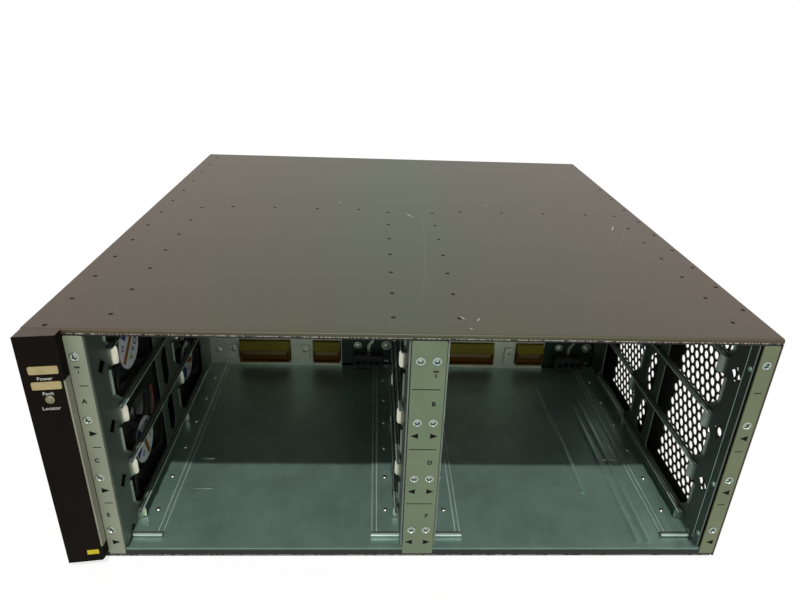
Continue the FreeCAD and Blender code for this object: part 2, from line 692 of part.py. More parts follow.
def front_bezel():
    """Moulded shell, open at the back, with two windows and a lamp hole in its front."""
    bezel = body()
    face = sketch(bezel, "XZ_Plane")
    step = f"{BEZEL_RIGHT} - zinc"
    outline(face, [
        (BEZEL_LEFT, "bezel_low"), (f"{BEZEL_RIGHT} - bezel_cut", "bezel_low"),
        (BEZEL_RIGHT, "bezel_low + bezel_cut"), (BEZEL_RIGHT, "bracket_low"), (step, "bracket_low"),
        (step, "bracket_top"), (BEZEL_RIGHT, "bracket_top"), (BEZEL_RIGHT, BEZEL_TOP), (BEZEL_LEFT, BEZEL_TOP),
    ])
    shell = pad(bezel, face, "bezel_deep")
    doc.recompute()
    rounded = bezel.newObject("PartDesign::Fillet", "rounded")
    rounded.Base = (shell, front_edges(shell.Shape))
    bind(rounded, Radius="bezel_edge")
    hollow = sketch(bezel, "XZ_Plane")
    outline(hollow, rectangle((f"{BEZEL_LEFT} + bezel_wall", "bezel_low + bezel_wall + bezel_cut"),
                              (f"{step} - bezel_side", f"{BEZEL_TOP} - bezel_wall")))
    pocket(bezel, hollow, "(bezel_deep - bezel_wall) * 2")
    windows = sketch(bezel, "XZ_Plane", "bezel_deep")
    for middle in ("power_mid", "fault_mid"):
        outline(windows, window_corners(middle, 0))
    many_sided(windows, (window_middle(), "locator_mid"), "locator_round / 2", LAMP_SIDES)
    bezel.Tip = pocket(bezel, windows, "bezel_wall * 4")
    keep(bezel, "front_bezel")


def front_edges(shape):
    """Names of the left and top edges of the bezel's front face."""
    same = 1e-6
    depth = -value("bezel_deep")
    left = value(BEZEL_LEFT)
    top = value(BEZEL_TOP)
    names = []
    for number, edge in enumerate(shape.Edges, start=1):
        reach = edge.BoundBox
        in_front = abs(reach.YMax - depth) < same
        if in_front and (abs(reach.XMax - left) < same or abs(reach.ZMin - top) < same):
            names.append(f"Edge{number}")
    return names


def window_middle():
    return f"{BEZEL_LEFT} + (bezel_wide - zinc) / 2 + window_shift"


def window_corners(middle, play):
    half = f"(window_wide / 2 - {play})"
    return rectangle((f"{window_middle()} - {half}", f"{middle} - window_high / 2 + {play}"),
                     (f"{window_middle()} + {half}", f"{middle} + window_high / 2 - {play}"))


def light_window(label, middle):
    """Light pipe that fills its window and lies a little behind the bezel's face."""
    lens = body()
    face = sketch(lens, "XZ_Plane", "bezel_deep - window_sunk")
    outline(face, window_corners(middle, "window_fit"))
    pad(lens, face, "bezel_deep - window_sunk - lamp_board_out", reverse=True)
    keep(lens, label)


def locator_lens():
    """Lamp that fills its hole and stands proud of the bezel with a smaller dome."""
    lens = body()
    radius = "locator_round / 2 - window_fit"
    stem = sketch(lens, "XZ_Plane", "bezel_deep")
    many_sided(stem, (window_middle(), "locator_mid"), radius, LAMP_SIDES)
    pad(lens, stem, "bezel_deep - lamp_board_out", reverse=True)
    dome = sketch(lens, "XZ_Plane", "bezel_deep")
    many_sided(dome, (window_middle(), "locator_mid"), f"{radius} - dome_step", LAMP_SIDES)
    pad(lens, dome, "lamp_proud")
    keep(lens, "locator_lens")


def bezel_bracket():
    """Metal side of the bezel, on which it is fastened to the case."""
    side = box((f"{BEZEL_RIGHT} - zinc", "bracket_back - bezel_deep", "bracket_low + bracket_fit"),
               ("zinc", "bezel_deep - bracket_back", "bracket_top - bracket_low - bracket_fit * 2"))
    keep(side, "bezel_bracket")


def indicator_board():
    """Small board behind the windows and the lamp."""
    board = box((f"{BEZEL_LEFT} + bezel_wall", "-lamp_board_out", "locator_mid - lamp_board_over"),
                ("bezel_wide - zinc - bezel_wall * 2", "lamp_board_thick",
                 "power_mid - locator_mid + lamp_board_over * 2"))
    keep(board, "indicator_board")


# Backplane

def row_up(row):
    """Height of the bottom of a slot's connectors."""
    return f"connector_low + {row} * slot_pitch"


def backplane_frame(bay):
    """Sheet with one pair of connector cut-outs for each slot."""
    frame = body()
    bind(frame, Placement__Base__x=BAYS[bay])
    drawing = sketch(frame, "XZ_Plane", "-frame_front")
    outline(drawing, rectangle((0, "floor_top"), ("frame_end", "case_high - skin - frame_fit")))
    pad(frame, drawing, "frame_thick", reverse=True)
    holes = sketch(frame, "XZ_Plane", "-frame_front")
    for start, wide in (("long_from", "long_wide"), ("short_from", "short_wide")):
        outline(holes, rectangle((f"{start} - short_cut", "connector_low - short_cut"),
                                 (f"{start} + {wide} + short_cut", "connector_low + long_high + short_cut")))
    repeat_up(frame, [pocket(frame, holes, "frame_thick * 4")], len(ALL_ROWS))
    keep(frame, f"backplane_frame_{bay}")


def slot_connector(edge, start, wide, row):
    """Moulded housing: a sloping brow over two mating recesses, and its tail against the board."""
    housing = body()
    bind(housing, Placement__Base__x=f"{edge} + {start}", Placement__Base__z=row_up(row))
    front = "frame_front - connector_out"
    back = "frame_front + frame_thick + board_gap"
    profile = sketch(housing, "YZ_Plane")
    outline(profile, [
        (back, 0), (back, "long_high"), (f"{front} + brow_back", "long_high"),
        (front, "long_high - brow_high"), (front, 0),
    ])
    pad(housing, profile, wide)
    recesses = sketch(housing, "YZ_Plane", f"{wide} / 2")
    for level in range(2):
        low = f"mate_low + {level} * mate_pitch"
        corners = rectangle((f"{front} - mate_deep", low), (f"{front} + mate_deep", f"{low} + mate_high"))
        outline(recesses, corners)
    pocket(housing, recesses, f"{wide} - mate_end * 2")
    return housing


def slot_connectors(label, start, wide):
    places = [(edge, row) for edge in BAYS.values() for row in ALL_ROWS]
    keep(group([slot_connector(edge, start, wide, row) for edge, row in places]), label)


def power_connectors():
    """Dark blocks with four contact wells, low in each slot."""
    blocks = []
    front = "frame_front - connector_out"
    for edge in BAYS.values():
        for row in ALL_ROWS:
            foot = f"floor_top + zinc + power_fit + {row} * slot_pitch"
            left = f"{edge} + power_from"
            deep = "connector_out + frame_thick + board_gap"
            block = box((left, front, foot), ("power_wide", deep, "power_high"))
            wells = []
            for count in range(WELLS):
                corner = (f"{left} + power_end + {count} * well_pitch", front, f"{foot} + power_rim")
                wells.append(box(corner, ("well_wide", "connector_out", "power_high - power_rim * 2")))
            blocks.append(cut(block, group(wells)))
    keep(group(blocks), "power_connectors")


def connector_posts():
    """Guide brackets that stand on the frame beside each long connector."""
    posts = []
    for edge in BAYS.values():
        for row in ALL_ROWS:
            for start in ("long_from - post_wide - post_beside", "post_from"):
                corner = (f"{edge} + {start}", "frame_front - post_out", f"{row_up(row)} + post_up")
                posts.append(box(corner, ("post_wide", "post_out", "post_high")))
    keep(group(posts), "connector_posts")


def backplane_board():
    """Board behind both frames, from guide to guide."""
    board = box(("bay_left", "frame_front + frame_thick + board_gap", "floor_top + board_up"),
                (f"{BAY_RIGHT} + bay_wide - bay_left", "board_thick",
                 "case_high - skin - frame_fit - floor_top - board_up"))
    keep(board, "backplane_board")


def backplane_screws():
    heads = []
    for edge in BAYS.values():
        for row in ALL_ROWS:
            for start in ("board_screw_a", "board_screw_b"):
                middle = (f"{edge} + {start}", "frame_front + frame_thick + board_gap - board_screw_high",
                          f"{row_up(row)} + board_screw_up")
                heads.append(prism(middle, "board_screw_round", "board_screw_high", SCREW_SIDES))
    keep(group(heads), "backplane_screws")


# Supply bays

def supply_edge(bay):
    """Left edge of a supply bay."""
    return f"supply_left + {bay} * (supply_wide + cover_lap * 2)"


def supply_opening(bay):
    """Left and right edge of a supply bay's opening in the rear panel."""
    return supply_edge(bay), f"{supply_edge(bay)} + supply_wide - cover_lap"


BOARD_BACK = "(frame_front + frame_thick + board_gap + board_thick)"


def supply_bays():
    """Roof over the bays, with folded legs at both ends, and a wall between the bays."""
    start = f"({BOARD_BACK} + supply_back)"
    bay_deep = f"case_deep - skin - {start}"
    left = "supply_left - cover_lap"
    right = f"{supply_edge(1)} + supply_wide"
    roof = body()
    profile = sketch(roof, "XZ_Plane", f"-({start})")
    outline(profile, [
        (left, "skin"), (f"{left} + zinc", "skin"), (f"{left} + zinc", "floor_top + supply_high - zinc"),
        (f"{right} - zinc", "floor_top + supply_high - zinc"), (f"{right} - zinc", "skin"), (right, "skin"),
        (right, "floor_top + supply_high"), (left, "floor_top + supply_high"),
    ])
    pad(roof, profile, bay_deep, reverse=True)
    keep(roof, "psu_bay_roof")
    between = f"({supply_opening(0)[1]} + {supply_opening(1)[0]}) / 2"
    divider = box((f"{between} - zinc / 2", start, "skin"),
                  ("zinc", bay_deep, "floor_top + supply_high - zinc - skin"))
    keep(divider, "psu_bay_divider")


def supply_cover(label, bay):
    """Blank plate over an empty supply bay, with a level grip across its middle."""
    cover = body()
    drawing = sketch(cover, "XZ_Plane", "-case_deep")
    left = f"{supply_edge(bay)} - cover_lap + cover_fit"
    right = f"{supply_edge(bay)} + supply_wide - cover_fit"
    outline(drawing, rectangle((left, "floor_top"), (right, "floor_top + supply_high")))
    pad(cover, drawing, "skin", reverse=True)
    grip = sketch(cover, "XZ_Plane", "-case_deep")
    outline(grip, rectangle((f"{left} + grip_inset", "floor_top + supply_high / 2"),
                            (f"{right} - grip_inset", "floor_top + supply_high / 2 + skin")))
    pad(cover, grip, "grip_out", reverse=True)
    keep(cut(cover, screw_holes(cover_screws(bay))), label)


def cover_screws(bay):
    """Middles of a supply cover's two screws."""
    left = f"{supply_edge(bay)} - cover_lap / 2 + cover_fit"
    right = f"{supply_edge(bay)} + supply_wide - cover_lap / 2 - cover_fit"
    return [(left, "floor_top + supply_high / 2"), (right, "floor_top + supply_high / 2")]


def screw_holes(places):
    """Holes for thumb screws through a plate on the rear of the case."""
    holes = [prism((across, "case_deep", up), "screw_hole", "skin", SHANK_SIDES) for across, up in places]
    return group(holes)


def thumb_screw(across, up):
    """Captive screw: a broad head on a short shank that fills the plate under it."""
    head = prism((across, "case_deep + skin", up), "screw_head", "screw_long", THUMB_SIDES)
    shank = prism((across, "case_deep", up), "screw_shank", "skin", SHANK_SIDES)
    return joined([head, shank])


# Fan tray

TRAY_LEFT = "tray_out - case_wide / 2"
TRAY_TOP = "tray_low + tray_high"
FAN_FACE = f"({TRAY_LEFT} + zinc + fan_deep)"
FANS = [(column, row) for row in range(2) for column in range(2)]


def fan_middle(column, row):
    """Where a fan's axis is, in Y and Z."""
    return f"fan_first + {column} * fan_column", f"fan_low + {row} * fan_rise"


def tray_frame():
    """Channel that carries the fans, with a round air way behind each."""
    tray = body()
    profile = sketch(tray, "XZ_Plane", "-tray_front")
    outline(profile, [
        (TRAY_LEFT, "tray_low"), (f"{TRAY_LEFT} + tray_fold", "tray_low"),
        (f"{TRAY_LEFT} + tray_fold", "tray_low + zinc"), (f"{TRAY_LEFT} + zinc", "tray_low + zinc"),
        (f"{TRAY_LEFT} + zinc", f"{TRAY_TOP} - zinc"), (f"{TRAY_LEFT} + tray_fold", f"{TRAY_TOP} - zinc"),
        (f"{TRAY_LEFT} + tray_fold", TRAY_TOP), (TRAY_LEFT, TRAY_TOP),
    ])
    pad(tray, profile, "case_deep - tray_front", reverse=True)
    holes = sketch(tray, "YZ_Plane", TRAY_LEFT)
    for column, row in FANS:
        many_sided(holes, fan_middle(column, row), "fan_bore / 2", AIRWAY_SIDES)
    tray.Tip = pocket(tray, holes, "zinc * 4")
    keep(tray, "fan_tray_frame")


def tray_runners():
    """Rails under and over the tray; the upper one fills the space between wall flange and guide."""
    lower_high = "tray_low - tray_gap - floor_top"
    lower = box((f"{TRAY_LEFT} + runner_inset", "tray_front", "floor_top"),
                ("tray_fold - runner_inset * 2", "frame_front - tray_front", lower_high))
    keep(lower, "tray_runner_lower")
    left = "(fold_left - case_wide / 2 + runner_fit)"
    right = "(bay_left - zinc - runner_inset)"
    upper_high = f"case_high - skin - ({TRAY_TOP}) - tray_gap"
    upper = box((left, "tray_front", f"{TRAY_TOP} + tray_gap"),
                (f"{right} - {left}", "case_deep - skin - tray_front", upper_high))
    keep(upper, "tray_runner_upper")


def tray_plate():
    """Rear plate of the tray, which laps over its opening in the rear panel."""
    plate = box((f"{TRAY_LEFT} - plate_lap", "case_deep", "tray_low - plate_lap"),
                ("tray_fold + plate_lap * 2", "skin", "tray_high + plate_lap * 2"))
    keep(cut(plate, screw_holes(tray_screws())), "fan_tray_plate")


def tray_screws():
    """Middles of the tray's two screws."""
    across = f"{TRAY_LEFT} + tray_fold / 2"
    return [(across, "tray_low + tray_screw_in"), (across, f"{TRAY_TOP} - tray_screw_in")]


def tray_handle():
    """Bent rod: two legs out of the plate and a grip between them, with round corners."""
    across = value(f"{TRAY_LEFT} + tray_fold / 2")
    middle = value("tray_low + tray_high / 2")
    rod = value("handle_rod") / 2
    bend = value("handle_bend")
    start = value("case_deep + skin")
    end = value("case_deep + handle_out") - rod
    low = middle - value("handle_high") / 2 + rod
    high = middle + value("handle_high") / 2 - rod
    tilt = bend * (1 - math.sqrt(0.5))
    path = Part.Wire([
        Part.makeLine(Vector(across, start, low), Vector(across, end - bend, low)),
        Part.Arc(Vector(across, end - bend, low), Vector(across, end - tilt, low + tilt),
                 Vector(across, end, low + bend)).toShape(),
        Part.makeLine(Vector(across, end, low + bend), Vector(across, end, high - bend)),
        Part.Arc(Vector(across, end, high - bend), Vector(across, end - tilt, high - tilt),
                 Vector(across, end - bend, high)).toShape(),
        Part.makeLine(Vector(across, end - bend, high), Vector(across, start, high)),
    ])
    turns = [math.radians(60 * corner) for corner in range(7)]
    section = Part.makePolygon([
        Vector(across + rod * math.cos(turn), start, low + rod * math.sin(turn)) for turn in turns
    ])
    handle = doc.addObject("Part::Feature", "handle")
    handle.Shape = path.makePipeShell([section], True, False)
    keep(handle, "fan_tray_handle")


def fan_housing(label, column, row):
    """Square frame with a round air way, four arms and a bearing tube for the shaft."""
    fan = body()
    middle_y, middle_z = fan_middle(column, row)
    bind(fan, Placement__Base__x=FAN_FACE, Placement__Base__y=middle_y, Placement__Base__z=middle_z)
    frame = sketch(fan, "YZ_Plane")
    half = "fan_size / 2"
    outline(frame, rectangle((f"-{half}", f"-{half}"), (half, half)))
    many_sided(frame, (0, 0), "fan_bore / 2", AIRWAY_SIDES)
    pad(fan, frame, "fan_deep", reverse=True)
    reach = "fan_bore / 2 + arm_sunk"
    arms = sketch(fan, "YZ_Plane")
    outline(arms, rectangle((f"-({reach})", "-arm_wide / 2"), (reach, "arm_wide / 2")))
    pad(fan, arms, "arm_deep", reverse=True)
    uprights = sketch(fan, "YZ_Plane")
    outline(uprights, rectangle(("-arm_wide / 2", f"-({reach})"), ("arm_wide / 2", reach)))
    pad(fan, uprights, "arm_deep", reverse=True)
    hub = sketch(fan, "YZ_Plane")
    many_sided(hub, (0, 0), "fan_hub / 2", HUB_SIDES)
    pad(fan, hub, "arm_deep", reverse=True)
    tube = sketch(fan, "YZ_Plane")
    many_sided(tube, (0, 0), "bearing_round / 2", SCREW_SIDES)
    pad(fan, tube, "bearing_long", reverse=True)
    bearing = sketch(fan, "YZ_Plane", "-fan_deep")
    ring(bearing, (0, 0), "fan_shaft / 2 + shaft_fit")
    pocket(fan, bearing, "(fan_deep - bearing_floor) * 2")
    corners = sketch(fan, "YZ_Plane")
    place = "(fan_size / 2 - fan_hole_in)"
    for across in (-1, 1):
        for up in (-1, 1):
            many_sided(corners, (f"{across} * {place}", f"{up} * {place}"), "fan_hole / 2", HOLE_SIDES)
    fan.Tip = pocket(fan, corners, "fan_deep * 2")
    keep(fan, label)


def fan_rotor(label, column, row):
    """Cup with a shaft, and pitched blades around it."""
    rotor = body()
    middle_y, middle_z = fan_middle(column, row)
    bind(rotor, Placement__Base__x=FAN_FACE, Placement__Base__y=middle_y, Placement__Base__z=middle_z)
    cup = "fan_hub / 2 - cup_inset"
    rim = sketch(rotor, "YZ_Plane", "cup_back - fan_deep")
    many_sided(rim, (0, 0), cup, HUB_SIDES)
    pad(rotor, rim, "fan_deep - cup_back - cup_front")
    floor = "cup_back + cup_floor - fan_deep"
    hollow = sketch(rotor, "YZ_Plane", floor)
    many_sided(hollow, (0, 0), f"{cup} - cup_wall", HUB_SIDES)
    inside = rotor.newObject("PartDesign::Pocket", "inside")
    inside.Profile = hollow
    inside.Reversed = True
    bind(inside, Length="fan_deep")
    pin = sketch(rotor, "YZ_Plane", floor)
    ring(pin, (0, 0), "fan_shaft / 2")
    pad(rotor, pin, f"-shaft_end - ({floor})")
    blade = rotor.newObject("PartDesign::AdditiveLoft", "blade")
    blade.Profile = blade_section(rotor, f"{cup} - blade_root", "root_deep", "root_round")
    blade.Sections = [blade_section(rotor, "fan_bore / 2 - blade_gap", "tip_deep", "tip_round")]
    blade.Ruled = True
    ringed = rotor.newObject("PartDesign::PolarPattern", "blades")
    ringed.Originals = [blade]
    ringed.Axis = (datum(rotor, "X_Axis"), [""])
    ringed.Angle = 360
    ringed.Occurrences = int(value("fan_blades"))
    rotor.Tip = ringed
    keep(rotor, label)


def blade_section(rotor, radius, half_deep, half_round):
    """A slanted blade cut at a distance from the axis, drawn on a plane square to the blade."""
    section = sketch(rotor, "XY_Plane", radius)
    middle = "-fan_deep / 2 - blade_back"
    outline(section, [
        (f"{middle} - {half_deep}", f"-{half_round}"),
        (f"{middle} - {half_deep} + blade_thick", f"-{half_round}"),
        (f"{middle} + {half_deep}", half_round), (f"{middle} + {half_deep} - blade_thick", half_round),
    ])
    return section


def build():
    top_cover()
    bottom_pan()
    exhaust_slots(side_wall("side_wall_left", -1, "fold_left"))
    intake_grille(side_wall("side_wall_right", 1, "fold_right"))
    rear_panel()
    floor_pan()
    for label, (face, side) in GUIDE_FACES.items():
        card_guide(label, face, side)
    floor_rivets()
    for label in STRIPS:
        front_strip(label)
    front_bezel()
    light_window("power_window", "power_mid")
    light_window("fault_window", "fault_mid")
    locator_lens()
    bezel_bracket()
    indicator_board()
    for bay in BAYS:
        backplane_frame(bay)
    slot_connectors("slot_connectors_long", "long_from", "long_wide")
    slot_connectors("slot_connectors_short", "short_from", "short_wide")
    power_connectors()
    connector_posts()
    backplane_board()
    backplane_screws()
    supply_bays()
    supply_cover("psu_cover_left", 0)
    supply_cover("psu_cover_right", 1)
    keep(group([thumb_screw(*place) for bay in range(2) for place in cover_screws(bay)]), "psu_cover_screws")
    tray_frame()
    tray_runners()
    tray_plate()
    tray_handle()
    keep(group([thumb_screw(*place) for place in tray_screws()]), "fan_tray_screws")
    for number, (column, row) in enumerate(FANS, start=1):
        fan_housing(f"fan_housing_{number}", column, row)
        fan_rotor(f"fan_rotor_{number}", column, row)
    doc.recompute()


def check():
    """Stop on a failed object or a sub-part without a sound shape."""
    for item in doc.Objects:
        if "Invalid" in item.State or "Error" in item.State:
            raise RuntimeError(f"{item.Name} ({item.Label}) failed: {item.State}")
    for label, solid in finished.items():
        if solid.Shape.isNull() or not solid.Shape.isValid() or not solid.Shape.Solids:
            raise RuntimeError(f"{label} has no sound shape")


def write():
    os.makedirs("parts", exist_ok=True)
    for label, solid in finished.items():
        solid.Shape.exportStep(f"parts/{label}.step")


build()
check()
write()
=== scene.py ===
"""Looks of the modular chassis switch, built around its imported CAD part.

The file is laid out as a Blender add-on and is run as a script. Shapes are worked out in millimetres,
with X to the right, Y back from the front plane of the case and Z up, and piece() puts them in place.
"""

import math

import bmesh
import bpy
import numpy as np
from bpy.props import FloatProperty, FloatVectorProperty, IntProperty, PointerProperty
from mathutils import Matrix, Vector


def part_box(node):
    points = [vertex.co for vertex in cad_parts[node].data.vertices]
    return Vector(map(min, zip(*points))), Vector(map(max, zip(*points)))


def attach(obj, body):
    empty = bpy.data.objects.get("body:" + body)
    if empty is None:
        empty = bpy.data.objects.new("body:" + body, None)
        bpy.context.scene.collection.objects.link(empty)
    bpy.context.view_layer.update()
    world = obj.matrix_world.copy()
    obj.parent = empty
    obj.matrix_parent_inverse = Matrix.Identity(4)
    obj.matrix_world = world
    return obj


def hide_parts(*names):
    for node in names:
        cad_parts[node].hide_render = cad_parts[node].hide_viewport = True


bl_info = {
    "name": "Modular chassis switch",
    "version": (1, 0, 0),
    "blender": (4, 5, 0),
    "location": "View3D > Sidebar > Chassis",
    "description": "Builds the sheet metal, card guides, fans and backplane of a modular switch chassis",
    "category": "Add Mesh",
}

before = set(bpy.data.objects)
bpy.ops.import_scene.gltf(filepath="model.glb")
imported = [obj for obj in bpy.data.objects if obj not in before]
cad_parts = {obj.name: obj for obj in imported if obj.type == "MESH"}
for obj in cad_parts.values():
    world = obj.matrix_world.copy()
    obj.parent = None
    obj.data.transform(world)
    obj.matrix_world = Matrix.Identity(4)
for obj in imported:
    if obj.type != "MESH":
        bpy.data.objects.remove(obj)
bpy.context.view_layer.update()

MM = 0.001
LID_LOW, LID_HIGH = (np.array(corner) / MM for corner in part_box("top_cover"))
FRONT = LID_LOW[1]
CASE_HALF, CASE_HIGH = LID_HIGH[0], LID_HIGH[2]
CASE_DEEP = LID_HIGH[1] - LID_LOW[1]
SKIN = 1.2
ZINC = 1.0
INK = 0.03
FLOOR_TOP = 4.0
SLOT_ROWS = np.arange(4) * 44.45


# Shapes: a shape is an array of points and a list of face arrays

FACING_FRONT = ((1, 0, 0), (0, 0, 1), (0, -1, 0))
FACING_BACK = ((-1, 0, 0), (0, 0, 1), (0, 1, 0))
FACING_UP = ((1, 0, 0), (0, 1, 0), (0, 0, 1))
ALONG_X = ((0, 1, 0), (0, 0, 1), (1, 0, 0))
ALONG_Y = ((1, 0, 0), (0, 0, 1), (0, 1, 0))


def laid(shape, facing=FACING_UP, origin=(0, 0, 0)):
    """Turn a shape so that its own X, Y and Z run along three directions, and move it."""
    points, faces = shape
    return points @ np.array(facing, float) + np.array(origin, float), faces


def grid(points, around=False, closed=False):
    """Quads over rows and columns of points; around joins the last column to the first, closed the rows."""
    rows, columns = points.shape[:2]
    index = np.arange(rows * columns).reshape(rows, columns)
    if around:
        index = np.concatenate([index, index[:, :1]], axis=1)
    if closed:
        index = np.concatenate([index, index[:1]], axis=0)
    corners = [index[:-1, :-1], index[:-1, 1:], index[1:, 1:], index[1:, :-1]]
    return points.reshape(-1, 3), [np.stack(corners, axis=-1).reshape(-1, 4)]


def joined(shapes):
    """One shape from several: points follow each other and faces count on."""
    points, faces, count = [], [], 0
    for some_points, some_faces in shapes:
        points.append(some_points)
        faces += [face + count for face in some_faces]
        count += len(some_points)
    return np.concatenate(points), faces


def repeated(rows, faces):
    """One shape from rows of points, each row a moved copy of the points that the faces join."""
    steps = (np.arange(len(rows)) * rows.shape[1])[:, None, None]
    return rows.reshape(-1, 3), [(face[None] + steps).reshape(-1, face.shape[1]) for face in faces]


def copies(shape, places):
    """The same shape at each place: every point plus every offset."""
    places = np.array(places, float).reshape(-1, 1, 3)
    return repeated(shape[0][None] + places, shape[1])


def spun(shape, count, turn=0.0):
    """Copies of a shape turned in even steps about Z."""
    angle = np.arange(count) * 2 * np.pi / count + turn
    cos, sin = np.cos(angle)[:, None], np.sin(angle)[:, None]
    x, y, z = shape[0].T
    return repeated(np.stack([x * cos - y * sin, x * sin + y * cos, z + 0 * cos], axis=-1), shape[1])


def arc(middle, radius, start, end, steps):
    """Points round a middle: middle + radius (cos t, sin t), t in degrees from start to end."""
    turn = np.radians(np.linspace(start, end, steps))
    return np.array(middle) + radius * np.stack([np.cos(turn), np.sin(turn)], axis=-1)


def circle(middle, radius, sides):
    """A closed ring of points round a middle."""
    return arc(middle, radius, 0, 360 * (1 - 1 / sides), sides)


def rounded(corners, radius, steps=4, closed=True):
    """A polyline whose corners become curves: p = (1-t)^2 a + 2t(1-t) c + t^2 b, a and b on the two runs."""
    corners = np.array(corners, float)
    ends = []
    for step in (1, -1):
        run = np.roll(corners, step, axis=0) - corners
        long = np.linalg.norm(run, axis=1)
        cut = np.minimum(radius, long * 0.48)[:, None]
        ends.append(corners + run / np.maximum(long, 1e-9)[:, None] * cut)
    t = np.linspace(0, 1, steps)[None, :, None]
    curve = (1 - t) ** 2 * ends[0][:, None] + 2 * t * (1 - t) * corners[:, None] + t ** 2 * ends[1][:, None]
    if closed:
        return curve.reshape(-1, corners.shape[1])
    middle = curve[1:-1].reshape(-1, corners.shape[1])
    return np.concatenate([corners[:1], middle, corners[-1:]])


def oblong(low, high, radius=0, steps=4):
    """An upright rectangle from two corners, with rounded corners."""
    corners = [(low[0], low[1]), (high[0], low[1]), (high[0], high[1]), (low[0], high[1])]
    return rounded(corners, radius, steps) if radius else np.array(corners, float)


def plate(loops, thick):
    """A flat sheet in XY from z = 0 to thick: the first loop is its outline, the others are holes."""
    curve = bpy.data.curves.new("outline", "CURVE")
    curve.dimensions = "2D"
    curve.fill_mode = "BOTH"
    curve.extrude = thick / 2
    for loop in loops:
        spline = curve.splines.new("POLY")
        spline.points.add(len(loop) - 1)
        flat = np.zeros((len(loop), 4), np.float32)
        flat[:, :2] = loop
        flat[:, 3] = 1
        spline.points.foreach_set("co", flat.ravel())
        spline.use_cyclic_u = True
    return from_curve(curve, thick / 2)


def from_curve(curve, lift):
    """The triangles of a curve or text, raised so that its low face is at z = 0."""
    holder = bpy.data.objects.new("outline", curve)
    mesh = bpy.data.meshes.new_from_object(holder)
    mesh.calc_loop_triangles()
    points = np.zeros(len(mesh.vertices) * 3, np.float32)
    mesh.vertices.foreach_get("co", points)
    corners = np.zeros(len(mesh.loop_triangles) * 3, np.int32)
    mesh.loop_triangles.foreach_get("vertices", corners)
    bpy.data.objects.remove(holder)
    bpy.data.curves.remove(curve)
    bpy.data.meshes.remove(mesh)
    return points.reshape(-1, 3).astype(float) + (0, 0, lift), [corners.reshape(-1, 3)]


def lettering(text, high, middle, weight):
    """Flat letters of a given height around a middle, in XY."""
    curve = bpy.data.curves.new("text", "FONT")
    curve.body = text
    curve.extrude = INK / 2
    curve.resolution_u = 3
    curve.align_x = "CENTER"
    curve.offset = weight
    points, faces = from_curve(curve, 0)
    low, top = points.min(axis=0), points.max(axis=0)
    size = high / (top[1] - low[1])
    flat = (points - (low + top) / 2) * (size, size, 1) + (middle[0], middle[1], INK / 2)
    return flat, faces


def turned(profile, sides, ring=False):
    """A profile of (radius, height) pairs turned about Z: x = r cos t, y = r sin t; ring closes it."""
    radius, height = np.array(profile, float).T
    turn = np.linspace(0, 2 * np.pi, sides, endpoint=False)
    rings = [radius[:, None] * np.cos(turn), radius[:, None] * np.sin(turn), height[:, None] + 0 * turn]
    return grid(np.stack(rings, axis=-1), around=True, closed=ring)


def wrapped(loops):
    """Rows of closed loops whose second half runs back beside the first, with both ends filled."""
    points, faces = grid(loops, around=True)
    half = loops.shape[1] // 2
    step = np.arange(half - 1)
    cap = np.stack([step, step + 1, 2 * half - 2 - step, 2 * half - 1 - step], axis=-1)
    return points, faces + [cap, cap + (len(loops) - 1) * 2 * half]


def folded(line, thick, start, end):
    """Bent sheet: a section line in XY moved half a thickness to both sides, drawn along Z."""
    line = np.array(line, float)
    slope = np.gradient(line, axis=0)
    normal = np.stack([-slope[:, 1], slope[:, 0]], axis=-1)
    normal *= thick / 2 / np.maximum(np.linalg.norm(normal, axis=1), 1e-9)[:, None]
    loop = np.concatenate([line + normal, (line - normal)[::-1]])
    return wrapped(np.stack([np.column_stack([loop, np.full(len(loop), z)]) for z in (start, end)]))


def shell(front, back):
    """A closed skin between two grids of points of the same size."""
    return wrapped(np.concatenate([front, back[:, ::-1]], axis=1))


def block(low, high):
    """A plain block between two corners."""
    low, high = np.array(low, float), np.array(high, float)
    unit = np.array([[x, y, z] for z in (0, 1) for y in (0, 1) for x in (0, 1)], float)
    faces = np.array([[0, 2, 3, 1], [4, 5, 7, 6], [0, 1, 5, 4], [2, 6, 7, 3], [0, 4, 6, 2], [1, 3, 7, 5]])
    return low + unit * (high - low), [faces]


def carried(section, path, up=(0, 0, 1), flat_ends=True):
    """A closed section (out, high) carried along a path: p = path + out * side + high * up."""
    section, path, up = (np.array(given, float) for given in (section, path, up))
    side = np.cross(np.gradient(path, axis=0), up)
    side /= np.maximum(np.linalg.norm(side, axis=1), 1e-9)[:, None]
    rows = path[:, None] + section[None, :, :1] * side[:, None] + section[None, :, 1:] * up
    if flat_ends:
        return wrapped(rows)
    ends = [np.broadcast_to(row.mean(axis=0), row.shape)[None] for row in (rows[0], rows[-1])]
    return grid(np.concatenate([ends[0], rows, ends[1]]), around=True)


def tube(path, radius, up=(0, 0, 1), sides=8):
    """A round bar along a path, closed at both ends."""
    return carried(circle((0, 0), radius, sides), path, up, flat_ends=False)


def piece(name, finish_name, slot, *shapes, body="chassis", replaces=(), smooth=32, bevel=0.0):
    """Make one object from shapes in front-plane millimetres, and let it ride on a body."""
    points, faces = joined(shapes)
    points = (points + (0, FRONT, 0)) * MM
    mesh = bpy.data.meshes.new(name)
    mesh.from_pydata(points.tolist(), [], [face for some in faces for face in some.tolist()])
    clean(mesh)
    mesh.shade_smooth()
    mesh.set_sharp_from_angle(angle=math.radians(smooth))
    mesh.materials.append(finish(finish_name))
    made = bpy.data.objects.new(name, mesh)
    bpy.context.scene.collection.objects.link(made)
    if bevel:
        edges = made.modifiers.new("edges", "BEVEL")
        edges.width = bevel * MM
        edges.segments = 2
        edges.limit_method = "ANGLE"
        edges.angle_limit = math.radians(50)
        edges.harden_normals = True
    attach(made, body)
    if replaces:
        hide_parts(*replaces)


